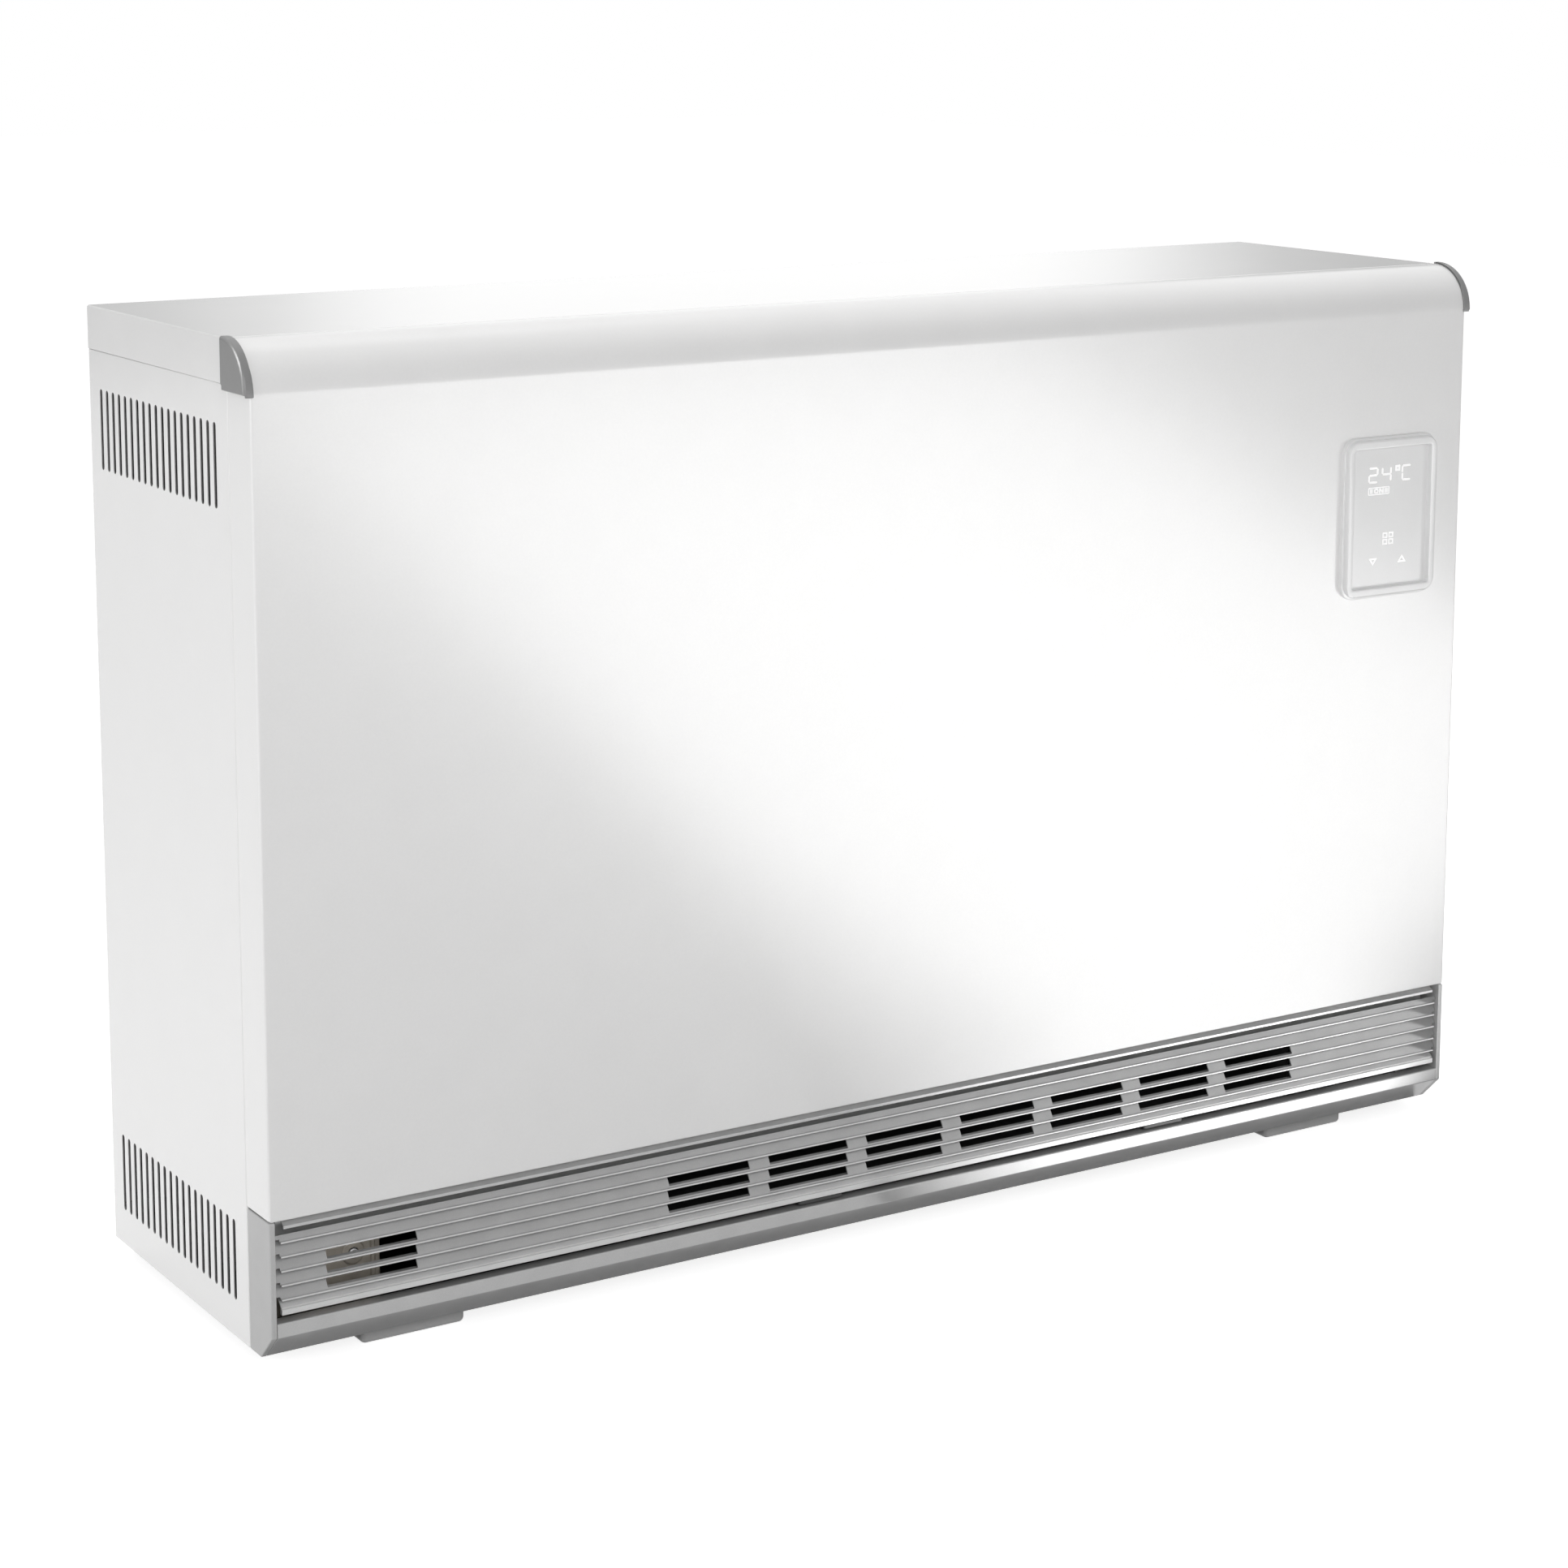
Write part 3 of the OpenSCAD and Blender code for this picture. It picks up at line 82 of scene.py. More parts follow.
def corner_arc(before, corner, after, radius):
    """Points of the arc that rounds a corner between its two neighbours."""
    a, b, c = (Vector(p[:2]) for p in (before, corner, after))
    to_a, to_c = (a - b).normalized(), (c - b).normalized()
    half = acos(max(-1, min(1, to_a.dot(to_c)))) / 2
    middle = b + (to_a + to_c).normalized() * radius / sin(half)
    first = b + to_a * radius / tan(half) - middle
    last = b + to_c * radius / tan(half) - middle
    start = atan2(first.y, first.x)
    turn = (atan2(last.y, last.x) - start + 3 * pi) % (2 * pi) - pi
    steps = steps_for(radius, turn)
    angles = [start + turn * i / steps for i in range(steps + 1)]
    return [middle + Vector((cos(a), sin(a))) * radius for a in angles]


def rounded(*corners):
    """A closed outline from corners (u, v) or (u, v, radius)."""
    points = []
    for i, corner in enumerate(corners):
        if len(corner) == 2 or corner[2] == 0:
            points.append(Vector(corner[:2]))
        else:
            points += corner_arc(corners[i - 1], corner, corners[(i + 1) % len(corners)], corner[2])
    return points


def open_path(corners):
    """A path with open ends through corners (u, v, radius)."""
    points = [Vector(corners[0][:2])]
    for i in range(1, len(corners) - 1):
        if corners[i][2] == 0:
            points.append(Vector(corners[i][:2]))
        else:
            points += corner_arc(corners[i - 1], corners[i], corners[i + 1], corners[i][2])
    return points + [Vector(corners[-1][:2])]


def left_of(a, b):
    """The unit vector to the left of the way from a to b."""
    along = (Vector(b[:2]) - Vector(a[:2])).normalized()
    return Vector((-along.y, along.x))


def bent_sheet(corners, thickness):
    """Outline of a sheet bent along a path (u, v, radius), its thickness to the left of the path."""
    last = len(corners) - 1
    back = []
    for i, corner in enumerate(corners):
        before = left_of(*corners[i - 1:i + 1]) if i else left_of(*corners[:2])
        after = left_of(*corners[i:i + 2]) if i < last else before
        turn = before.x * after.y - before.y * after.x
        sign = (turn > 0) - (turn < 0)
        radius = max(0, corner[2] - thickness * sign) if corner[2] else 0
        moved = Vector(corner[:2]) + (before + after) * thickness / (1 + before.dot(after))
        back.append((moved.x, moved.y, radius))
    return open_path(corners) + open_path(back[::-1])


def block(u0, v0, u1, v1, radius=0):
    return rounded((u0, v0, radius), (u1, v0, radius), (u1, v1, radius), (u0, v1, radius))


def disc(u, v, radius, sides=32):
    turns = [2 * pi * i / sides for i in range(sides)]
    return [Vector((u + radius * cos(a), v + radius * sin(a))) for a in turns]


def slot(u, v0, v1, width):
    """An upright slot with round ends."""
    return block(u - width / 2, v0, u + width / 2, v1, width / 2 - 0.01)


def area(loop):
    """Positive where the loop runs anticlockwise."""
    return sum(a.x * b.y - b.x * a.y for a, b in zip(loop, loop[1:] + loop[:1])) / 2


def moved_in(loop, distance):
    """The loop moved to the left of its own direction."""
    if distance == 0:
        return loop
    points = []
    for i, point in enumerate(loop):
        before, after = left_of(loop[i - 1], point), left_of(point, loop[(i + 1) % len(loop)])
        points.append(point + (before + after) * distance / (1 + before.dot(after)))
    return points


# ---- Solids ----

def edge_rounding(low, high, radius, low_radius=None):
    """(inset, depth) from one face of a plate to the other, with both of its edges rounded."""
    low_radius = radius if low_radius is None else low_radius
    stations = []
    for r, face, way in ((low_radius, low, 1), (radius, high, -1)):
        turns = quarter_turn(steps_for(r, pi / 2))
        arc = [(r * (1 - sin(a)), face + way * r * (1 - cos(a))) for a in turns] if r else [(0, face)]
        stations += arc if way == 1 else arc[::-1]
    return stations


def along_x(u, v, w):
    return w, u, v


def along_y(u, v, w):
    return u, w, v


def along_z(u, v, w):
    return u, v, w


def prism(form, outline, stations, spot, holes=(), hole_stations=None, finish=0):
    """Adds a solid whose outline goes through the (inset, depth) stations.

    spot turns (u, v, depth) into the casing's frame.
    """
    rings, flats = [], ([], [])
    for i, loop in enumerate([outline, *holes]):
        if (area(loop) > 0) != (i == 0):
            loop = loop[::-1]
        levels = stations if i == 0 or hole_stations is None else hole_stations
        loops = [moved_in(loop, inset) for inset, depth in levels]
        flats[0].append(loops[0])
        flats[1].append(loops[-1])
        rings.append([[form.verts.new(place(*spot(p.x, p.y, depth))) for p in points]
                      for points, (inset, depth) in zip(loops, levels)])
    made = []
    for ring in rings:
        for near, far in zip(ring, ring[1:]):
            for i in range(len(near)):
                k = (i + 1) % len(near)
                made.append(form.faces.new((near[i], near[k], far[k], far[i])))
    for loops, end in zip(flats, (0, -1)):
        corners = [v for ring in rings for v in ring[end]]
        if len(loops) == 1:
            made.append(form.faces.new(corners))
            continue
        flat = [[Vector((p.x, p.y, 0)) for p in loop] for loop in loops]
        made += [form.faces.new([corners[i] for i in three]) for three in tessellate_polygon(flat)]
    for face in made:
        face.material_index = finish
    bmesh.ops.recalc_face_normals(form, faces=made)


def bar(form, outline, low, high, spot, rounding=0.3, **rest):
    """Adds a solid of one section from depth low to depth high, with rounded ends."""
    prism(form, outline, edge_rounding(low, high, rounding), spot, **rest)


def fold(radius, reach):
    """The path of a flange: bent inwards with that radius and so far deep."""
    return [(0, 0, 0), (radius, 0, radius), (radius, reach, 0)]


def folded_sheet(form, base, flanges, thickness, spot, holes=(), hole_rounding=0.3, inner_finish=0,
                 cut_finish=0):
    """Adds a flat base (u0, v0, u1, v1) at depth 0 with flanges bent in from its sides.

    A flange is a path (out, depth, radius). The finishes are numbers in the piece's list: that of the
    face inside and that of the holes' walls.
    """
    u0, v0, u1, v1 = base
    edges = {"left": ((u0, v1), (u0, v0)), "low": ((u0, v0), (u1, v0)),
             "right": ((u1, v0), (u1, v1)), "high": ((u1, v1), (u0, v1))}
    before = set(form.verts)
    outer = [Vector(edges[side][0]) for side in ("low", "right", "high", "left")]
    levels = [(hole_rounding, 0), (hole_rounding * 0.3, hole_rounding * 0.3), (0, hole_rounding),
              (0, thickness)]
    loops = [loop[::-1] if area(loop) > 0 else loop for loop in holes]
    rings = []
    for loop in loops:
        rings.append([[form.verts.new(place(*spot(p.x, p.y, depth))) for p in moved_in(loop, inset)]
                      for inset, depth in levels])
    for ring in rings:
        for level, (near, far) in enumerate(zip(ring, ring[1:])):
            for i in range(len(near)):
                k = (i + 1) % len(near)
                wall = form.faces.new((near[i], near[k], far[k], far[i]))
                wall.material_index = cut_finish if level else 0
    for end, depth in ((0, 0), (-1, thickness)):
        corners = [form.verts.new(place(*spot(p.x, p.y, depth))) for p in outer]
        corners += [v for ring in rings for v in ring[end]]
        flat = [[Vector((p.x, p.y, 0)) for p in outer]]
        flat += [[Vector((p.x, p.y, 0)) for p in moved_in(loop, levels[end][0])] for loop in loops]
        picks = [range(len(corners))] if len(flat) == 1 else tessellate_polygon(flat)
        for pick in picks:
            form.faces.new([corners[i] for i in pick]).material_index = inner_finish if depth else 0
    for side, (start, stop) in edges.items():
        start, stop = Vector(start), Vector(stop)
        out = -left_of(start, stop)
        section = [Vector((0, 0)), Vector((0, thickness))]
        if side in flanges:
            section = bent_sheet(flanges[side], thickness)
        rows = [[form.verts.new(place(*spot(*(end + out * p.x), p.y))) for p in section]
                for end in (start, stop)]
        for i in range(len(section) - 1):
            form.faces.new((rows[0][i], rows[0][i + 1], rows[1][i + 1], rows[1][i]))
        if side in flanges:
            for row in rows:
                form.faces.new(row)
    new = [v for v in form.verts if v not in before]
    bmesh.ops.remove_doubles(form, verts=new, dist=1e-6)
    made = {f for v in form.verts if v not in before for f in v.link_faces}
    bmesh.ops.recalc_face_normals(form, faces=list(made))


def lathe(form, profile, spot, sides=32):
    """Adds a turned solid from (radius, depth) points; a radius of 0 closes it on the axis."""
    rows = []
    for radius, depth in profile:
        ring = disc(0, 0, radius, sides) if radius else [Vector((0, 0))]
        rows.append([form.verts.new(place(*spot(p.x, p.y, depth))) for p in ring])
    made = []
    for near, far in zip(rows, rows[1:]):
        for i in range(sides):
            k = (i + 1) % sides
            corners = [near[i % len(near)], near[k % len(near)], far[k % len(far)], far[i % len(far)]]
            made.append(form.faces.new(list(dict.fromkeys(corners))))
    for row in (rows[0], rows[-1]):
        if len(row) > 1:
            made.append(form.faces.new(row))
    bmesh.ops.recalc_face_normals(form, faces=made)


def stand(name, mesh):
    """Puts a mesh into the scene under its own name."""
    made = bpy.data.objects.new(name, mesh)
    bpy.context.scene.collection.objects.link(made)
    return made


def piece(name, form, finishes, nodes=(), body="heater"):
    """Turns the form into a piece that rides on a body and stands for nodes, which get its first finish."""
    mesh = bpy.data.meshes.new(name)
    form.to_mesh(mesh)
    form.free()
    mesh.shade_smooth()
    mesh.set_sharp_from_angle(angle=radians(38))
    made = stand(name, mesh)
    for surface in finishes:
        mesh.materials.append(surface)
    made.modifiers.new("even_shading", "WEIGHTED_NORMAL").keep_sharp = True
    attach(made, body)
    if nodes:
        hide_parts(*nodes)
        dress_nodes(nodes, finishes[0])


# ---- Finishes ----

def sockets(group, way, entries):
    """Gives a node group its sockets from (name, kind, value) rows."""
    for name, kind, value in entries:
        made = group.interface.new_socket(name, in_out=way, socket_type="NodeSocket" + kind)
        if value is not None:
            made.default_value = value


def maths(tree, operation, *terms):
    """The result of a Math node whose inputs are numbers or other nodes' results."""
    made = tree.nodes.new("ShaderNodeMath")
    made.operation = operation
    for socket, term in zip(made.inputs, terms):
        if isinstance(term, (int, float)):
            socket.default_value = term
        else:
            tree.links.new(term, socket)
    return made.outputs[0]


def surface_grain_group():
    """Fine mottling: noise of a given size, in metres, mixes two tones and two roughnesses."""
    group = bpy.data.node_groups.new("surface_grain", "ShaderNodeTree")
    sockets(group, "INPUT", [("Size", "Float", 0.002), ("Stretch", "Vector", (1, 1, 1)),
                             ("Tone A", "Color", (1, 1, 1, 1)), ("Tone B", "Color", (1, 1, 1, 1)),
                             ("Rough A", "Float", 0.3), ("Rough B", "Float", 0.4)])
    sockets(group, "OUTPUT", [("Color", "Color", None), ("Roughness", "Float", None),
                              ("Height", "Float", None)])
    node, link = group.nodes.new, group.links.new
    given, result = node("NodeGroupInput"), node("NodeGroupOutput")
    stretched = node("ShaderNodeVectorMath")
    stretched.operation = "MULTIPLY"
    link(node("ShaderNodeTexCoord").outputs["Object"], stretched.inputs[0])
    link(given.outputs["Stretch"], stretched.inputs[1])
    per_metre = maths(group, "DIVIDE", 1, given.outputs["Size"])
    grains = []
    for scale, detail in ((per_metre, 3), (maths(group, "MULTIPLY", per_metre, 0.04), 2)):
        noise = node("ShaderNodeTexNoise")
        noise.inputs["Detail"].default_value = detail
        link(stretched.outputs[0], noise.inputs["Vector"])
        link(scale, noise.inputs["Scale"])
        grains.append(noise.outputs["Fac"])
    spread = node("ShaderNodeMapRange")
    spread.inputs["From Min"].default_value = 0.7
    spread.inputs["From Max"].default_value = 1.3
    link(maths(group, "ADD", *grains), spread.inputs["Value"])
    # A Mix node takes two colours in its sockets 6 and 7 and gives the result in 2; numbers use 2, 3 and 0
    for kind, a, b, end, name, target in (("RGBA", 6, 7, 2, "Tone", "Color"),
                                          ("FLOAT", 2, 3, 0, "Rough", "Roughness")):
        mix = node("ShaderNodeMix")
        mix.data_type = kind
        link(spread.outputs[0], mix.inputs[0])
        link(given.outputs[name + " A"], mix.inputs[a])
        link(given.outputs[name + " B"], mix.inputs[b])
        link(mix.outputs[end], result.inputs[target])
    link(grains[0], result.inputs["Height"])
    return group


SURFACE_GRAIN = surface_grain_group()


def finish(name, tones, rough, size, height=0.0, stretch=(1, 1, 1), metallic=0.0, specular=0.5, coat=0.0,
           coat_rough=0.1, glow=0.0):
    """A surface whose tone and roughness vary between two values, in grains of that size and height (m)."""
    made = bpy.data.materials.new(name)
    made.use_nodes = True
    tree = made.node_tree
    shader = tree.nodes["Principled BSDF"]
    grain = tree.nodes.new("ShaderNodeGroup")
    grain.node_tree = SURFACE_GRAIN
    values = {"Size": size, "Stretch": stretch, "Tone A": (*tones[0], 1), "Tone B": (*tones[1], 1),
              "Rough A": rough[0], "Rough B": rough[1]}
    for key, value in values.items():
        grain.inputs[key].default_value = value
    tree.links.new(grain.outputs["Color"], shader.inputs["Base Color"])
    tree.links.new(grain.outputs["Roughness"], shader.inputs["Roughness"])
    shader.inputs["Metallic"].default_value = metallic
    shader.inputs["Specular IOR Level"].default_value = specular
    shader.inputs["Coat Weight"].default_value = coat
    shader.inputs["Coat Roughness"].default_value = coat_rough
    if glow:
        tree.links.new(grain.outputs["Color"], shader.inputs["Emission Color"])
        shader.inputs["Emission Strength"].default_value = glow
    if height:
        relief = tree.nodes.new("ShaderNodeBump")
        relief.inputs["Distance"].default_value = height
        tree.links.new(grain.outputs["Height"], relief.inputs["Height"])
        tree.links.new(relief.outputs["Normal"], shader.inputs["Normal"])
    return made


def grey(value, warmth=0.0):
    return value * (1 + warmth), value, value * (1 - warmth)


def greys(dark, light, warmth=0.0):
    return grey(dark, warmth), grey(light, warmth)


enamel = finish("white_enamel", greys(0.79, 0.81, 0.003), (0.34, 0.40), 0.0016, 4e-6, specular=0.25,
                coat=1.0, coat_rough=0.16)
# Near-black inner faces of the casing's sheets: painted shade for the dark inside seen through the vents and
# holes
painted_shade_inside = finish("inner_painted_shade", greys(0.035, 0.05), (0.6, 0.75), 0.0012, 1e-5, specular=0.3)
cut_zinc = finish("cut_sheet_zinc", greys(0.26, 0.34), (0.4, 0.55), 0.0006, 6e-6, metallic=0.3)
display_enamel = finish("display_white", greys(0.77, 0.79), (0.30, 0.35), 0.0008, 3e-6, coat=0.25,
                        coat_rough=0.2)
# A darker copy of the outlet's silver paint: painted shade on the blades between the ribs
blade_paint_painted_shade = finish("blade_silver_paint_painted_shade", greys(0.255, 0.28), (0.44, 0.52), 0.0007, 5e-6, metallic=0.1,
                      specular=0.35)
outlet_paint = finish("outlet_silver_paint", greys(0.44, 0.48), (0.19, 0.25), 0.0007, 5e-6, metallic=0.28)
cheek_paint = finish("end_cheek_silver_paint", greys(0.45, 0.49), (0.34, 0.4), 0.0007, 5e-6, metallic=0.12,
                     specular=0.3)
cap_plastic = finish("cap_grey_plastic", greys(0.215, 0.235), (0.28, 0.34), 0.0009, 6e-6)
foot_plastic = finish("foot_grey_plastic", greys(0.43, 0.47), (0.42, 0.5), 0.0009, 1e-5)
window_plastic = finish("window_frosted", greys(0.80, 0.82), (0.2, 0.24), 0.001, coat=0.15)
symbol_light = finish("symbol_light", greys(0.95, 1.0), (0.4, 0.5), 0.002, glow=0.25)
galvanised = finish("galvanised_sheet", greys(0.46, 0.60, -0.01), (0.32, 0.46), 0.012, 4e-6, metallic=0.85)
# Near-black sheet for the parts inside the outlet: painted shade for the dark inside seen through the
# grille's windows
black_painted_shade = finish("inner_black_painted_shade", greys(0.012, 0.02), (0.55, 0.7), 0.0014, 1.2e-5, specular=0.25)
scaled_steel = finish("aluminised_steel", greys(0.10, 0.17, 0.03), (0.45, 0.6), 0.009, 6e-6, metallic=0.8)
fibre_board = finish("insulation_board", ((0.70, 0.66, 0.57), (0.83, 0.80, 0.72)), (0.9, 1.0), 0.003, 3e-4,
                     stretch=(0.4, 1, 2), specular=0.1)
brick = finish("storage_brick", ((0.17, 0.095, 0.065), (0.27, 0.17, 0.12)), (0.8, 0.95), 0.0022, 2e-4,
               specular=0.2)
element_steel = finish("element_steel", ((0.20, 0.19, 0.17), (0.33, 0.31, 0.28)), (0.35, 0.55), 0.004, 5e-6,
                       stretch=(0.2, 1, 1), metallic=0.9)
ceramic = finish("seal_ceramic", ((0.76, 0.72, 0.63), (0.86, 0.83, 0.76)), (0.5, 0.65), 0.001, 2e-5)
rolled_steel = finish("fan_aluminium", greys(0.52, 0.66), (0.25, 0.38), 0.0012, 3e-6, stretch=(0.1, 1, 1),
                      metallic=0.95)
motor_iron = finish("motor_laminations", ((0.22, 0.20, 0.18), (0.36, 0.33, 0.30)), (0.4, 0.6), 0.0009, 4e-5,
                    stretch=(14, 1, 1), metallic=0.7)
rubber = finish("black_rubber", greys(0.018, 0.03), (0.6, 0.75), 0.0008, 2e-5, specular=0.35)
brass = finish("capsule_brass", ((0.50, 0.34, 0.13), (0.62, 0.44, 0.19)), (0.22, 0.36), 0.001, 3e-6,
               stretch=(1, 0.2, 1), metallic=0.95)
filter_plastic = finish("filter_plastic", greys(0.022, 0.034), (0.45, 0.6), 0.0007, 1.2e-5)
filter_thread = finish("filter_thread", greys(0.05, 0.09), (0.6, 0.8), 0.0006, 1e-5)
terminal_plastic = finish("terminal_plastic", ((0.80, 0.78, 0.71), (0.84, 0.82, 0.75)), (0.4, 0.5), 0.0009,
                          8e-6)
relay_plastic = finish("relay_plastic", ((0.03, 0.07, 0.17), (0.04, 0.09, 0.21)), (0.25, 0.35), 0.0009, 6e-6)
black_plastic = finish("black_plastic", greys(0.02, 0.032), (0.35, 0.5), 0.0008, 8e-6)
red_plastic = finish("button_red", ((0.50, 0.02, 0.015), (0.58, 0.03, 0.02)), (0.3, 0.4), 0.0009, 5e-6)
copper = finish("link_copper", ((0.62, 0.30, 0.18), (0.74, 0.40, 0.26)), (0.25, 0.4), 0.002, 3e-6,
                stretch=(1, 1, 0.2), metallic=0.95)
board_green = finish("board_green", ((0.015, 0.10, 0.045), (0.025, 0.14, 0.065)), (0.25, 0.35), 0.0015, 6e-6,
                     coat=0.4)
wire_orange = finish("wire_sleeve", ((0.70, 0.20, 0.06), (0.78, 0.26, 0.09)), (0.35, 0.48), 0.001, 5e-6)
bracket_zinc = finish("bracket_zinc", ((0.42, 0.38, 0.33), (0.52, 0.48, 0.42)), (0.38, 0.52), 0.006, 5e-6,
                      metallic=0.6)
screw_steel = finish("screw_steel", greys(0.50, 0.62), (0.25, 0.36), 0.0006, 4e-6, metallic=0.9)

# The nodes that no piece stands for, and what they are made of
CARRIED = {
    galvanised: ["left_fan_housing", "right_fan_housing", "flap_brackets", "filter_rails", "electrics_plate"],
    # The black of these parts is painted shade
    black_painted_shade: ["base_tray", "air_guide", "bypass_flap"],
    scaled_steel: ["core_supports", "core_floor", "core_casing"],
    fibre_board: ["base_insulation", "face_insulation", "end_insulation", "top_insulation"],
    brick: ["storage_bricks"],
    element_steel: ["heating_elements"],
    ceramic: ["element_seals"],
    rolled_steel: ["left_impeller", "right_impeller", "left_fan_shaft", "right_fan_shaft", "flap_rod",
                   "actuator_plunger", "charge_sensor"],
    motor_iron: ["left_fan_motor", "right_fan_motor"],
    rubber: ["fan_bearings"],
    brass: ["flap_actuator"],
    terminal_plastic: ["terminal_block"],
    relay_plastic: ["load_relays"],
    black_plastic: ["thermal_limiter", "room_sensor"],
    red_plastic: ["limiter_reset_button"],
    copper: ["element_links"],
    board_green: ["control_board", "display_board"],
    wire_orange: ["wiring_harness"],
}


def dress_nodes(nodes, surface):
    """Gives CAD nodes a finish in place of the one they come with."""
    for node in nodes:
        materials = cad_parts[node].data.materials
        materials.clear()
        materials.append(surface)


for surface, nodes in CARRIED.items():
    dress_nodes(nodes, surface)


# ---- Casing ----

FRONT, LID, REAR = box_of("front_panel"), box_of("top_cover"), box_of("back_panel")
SHEET = 1
SEAM_GAP = 0.3
FOLD_R, HEM_R, BACK_EDGE_R, EDGE_R = 1.6, 1.2, 0.8, 0.6
FLANGE = 14
CURVE_R = 32.5
CURVE_Z = FRONT.high - CURVE_R
VENTS, VENT_W, VENT_H, VENT_PITCH = 19, 4.2, 54, 10.56
VENT_FROM_BACK, VENT_FROM_END = 20.4, 25.6
REAR_SCREWS = [(x, z) for x in (-484.3, 484.3) for z in (60, LID.low / 2, LID.low - 40)]
WALL_HOLE_X, WALL_HOLE_Z, WALL_HOLE_R = 468, 600, 3.5
CABLE_X, CABLE_Z, CABLE_HOLE_R = 432, 75, 9.05
DISPLAY = box_of("display_frame")
DISPLAY_X, DISPLAY_Z = (DISPLAY.left + DISPLAY.right) / 2, (DISPLAY.low + DISPLAY.high) / 2


def display_outline(width, height, radius):
    """A rounded oblong round the display's middle."""
    return block(DISPLAY_X - width / 2, DISPLAY_Z - height / 2, DISPLAY_X + width / 2,
                 DISPLAY_Z + height / 2, radius)


def front_sheet():
    """The front panel, curved back at the top, with the opening that the display sits in."""
    form = bmesh.new()
    side_fold = fold(FOLD_R, FRONT.back - SEAM_GAP)
    brow = [(0, 0, 0), (CURVE_R, 0, CURVE_R), (CURVE_R, FRONT.back, 1.4), (CURVE_R - 12, FRONT.back, 0)]
    # The inside face takes the second finish, the near-black painted shade
    folded_sheet(form, (FRONT.left + FOLD_R, FRONT.low + HEM_R, FRONT.right - FOLD_R, CURVE_Z),
                 {"left": side_fold, "right": side_fold, "high": brow, "low": fold(HEM_R, 12)}, SHEET,
                 along_y, [display_outline(82, 112, 3)], inner_finish=1)
    piece("front_sheet", form, [enamel, painted_shade_inside], ["front_panel"])


def rounded_box(form, low, high, radius, open_side, segments=6):
    """Adds the skin of a box with rounded edges; open_side is (axis, end) of the side left out."""
    corners = {ends: form.verts.new(place(*((low, high)[end][i] for i, end in enumerate(ends))))
               for ends in product((0, 1), repeat=3)}
    faces = []
    for axis, end in product(range(3), (0, 1)):
        if (axis, end) != open_side:
            ring = [(0, 0), (0, 1), (1, 1), (1, 0)]
            keys = [tuple(end if i == axis else p[(i - axis - 1) % 3] for i in range(3)) for p in ring]
            faces.append(form.faces.new([corners[k] for k in keys]))
    bmesh.ops.recalc_face_normals(form, faces=faces)
    edges = dict.fromkeys(e for f in faces for e in f.edges if len(e.link_faces) == 2)
    bmesh.ops.bevel(form, geom=list(edges), offset=radius * MM, segments=segments, profile=0.5,
                    affect="EDGES", clamp_overlap=False)


def lid_sheet():
    """The top cover, a pan of sheet open below: one rounded skin inside another, joined round the rim."""
    form = bmesh.new()
    open_side = (2, 0)
    rounded_box(form, LID[:3], LID[3:], FOLD_R, open_side)
    inner_low = (LID.left + SHEET, LID.front + SHEET, LID.low)
    inner_high = [v - SHEET for v in LID[3:]]
    rounded_box(form, inner_low, inner_high, FOLD_R - SHEET, open_side)
    bmesh.ops.bridge_loops(form, edges=[e for e in form.edges if len(e.link_faces) == 1])
    bmesh.ops.recalc_face_normals(form, faces=form.faces)
    piece("lid_sheet", form, [enamel], ["top_cover"])


def side_sheet(hand):
    """A side panel with two rows of vents, a flange behind and the tongue that the lid slips over."""
    side, form = HAND[hand], bmesh.new()
    top = LID.low - SEAM_GAP

    def spot(u, v, w):
        return side * (FRONT.right - w), u, v

    vents = [slot(LID.back - VENT_FROM_BACK - VENT_PITCH * i, low, low + VENT_H, VENT_W)
             for low in (VENT_FROM_END, LID.low - VENT_FROM_END - VENT_H) for i in range(VENTS)]
    # The inside face takes the near-black painted shade, the vents' cut walls the zinc
    folded_sheet(form, (FRONT.back + FOLD_R, EDGE_R, LID.back - BACK_EDGE_R, top - EDGE_R),
                 {"left": fold(FOLD_R, FLANGE), "right": fold(BACK_EDGE_R, SHEET),
                  "low": fold(EDGE_R, SHEET), "high": fold(EDGE_R, SHEET)}, SHEET, spot, vents,
                 inner_finish=1, cut_finish=2)
    bar(form, block(REAR.front - SHEET, SHEET, REAR.front, FLANGE), 25, top,
        lambda u, v, w: spot(u, w, v), 0.2)
    tongue = [(SHEET, top - 16), (2 * SHEET, top - 16), (2 * SHEET, top + 12), (SHEET + 0.2, top + 12)]
    bar(form, [Vector(p) for p in tongue], LID.front + 2, REAR.front, lambda u, v, w: spot(w, v, u), 0.2)
    piece(hand + "_side_sheet", form, [enamel, painted_shade_inside, cut_zinc], [hand + "_side_panel"])


def rear_sheet():
    """The back panel with holes for its screws, for two wall screws and for the cable."""
    form = bmesh.new()
    holes = [disc(x, z, 2, 20) for x, z in REAR_SCREWS]
    holes += [disc(x, WALL_HOLE_Z, WALL_HOLE_R, 28) for x in (-WALL_HOLE_X, WALL_HOLE_X)]
    holes.append(disc(CABLE_X, CABLE_Z, CABLE_HOLE_R))
    prism(form, block(REAR.left, REAR.low, REAR.right, REAR.high, 1.5),
          edge_rounding(REAR.front, REAR.back, 0.25), along_y,
          holes, edge_rounding(REAR.front, REAR.back, 0.2))
    # The inner face takes the near-black painted shade
    for face in form.faces:
        if face.calc_center_median().y < place(0, REAR.front + 0.01, 0).y:
            face.material_index = 1
    piece("rear_sheet", form, [enamel, painted_shade_inside], ["back_panel"])


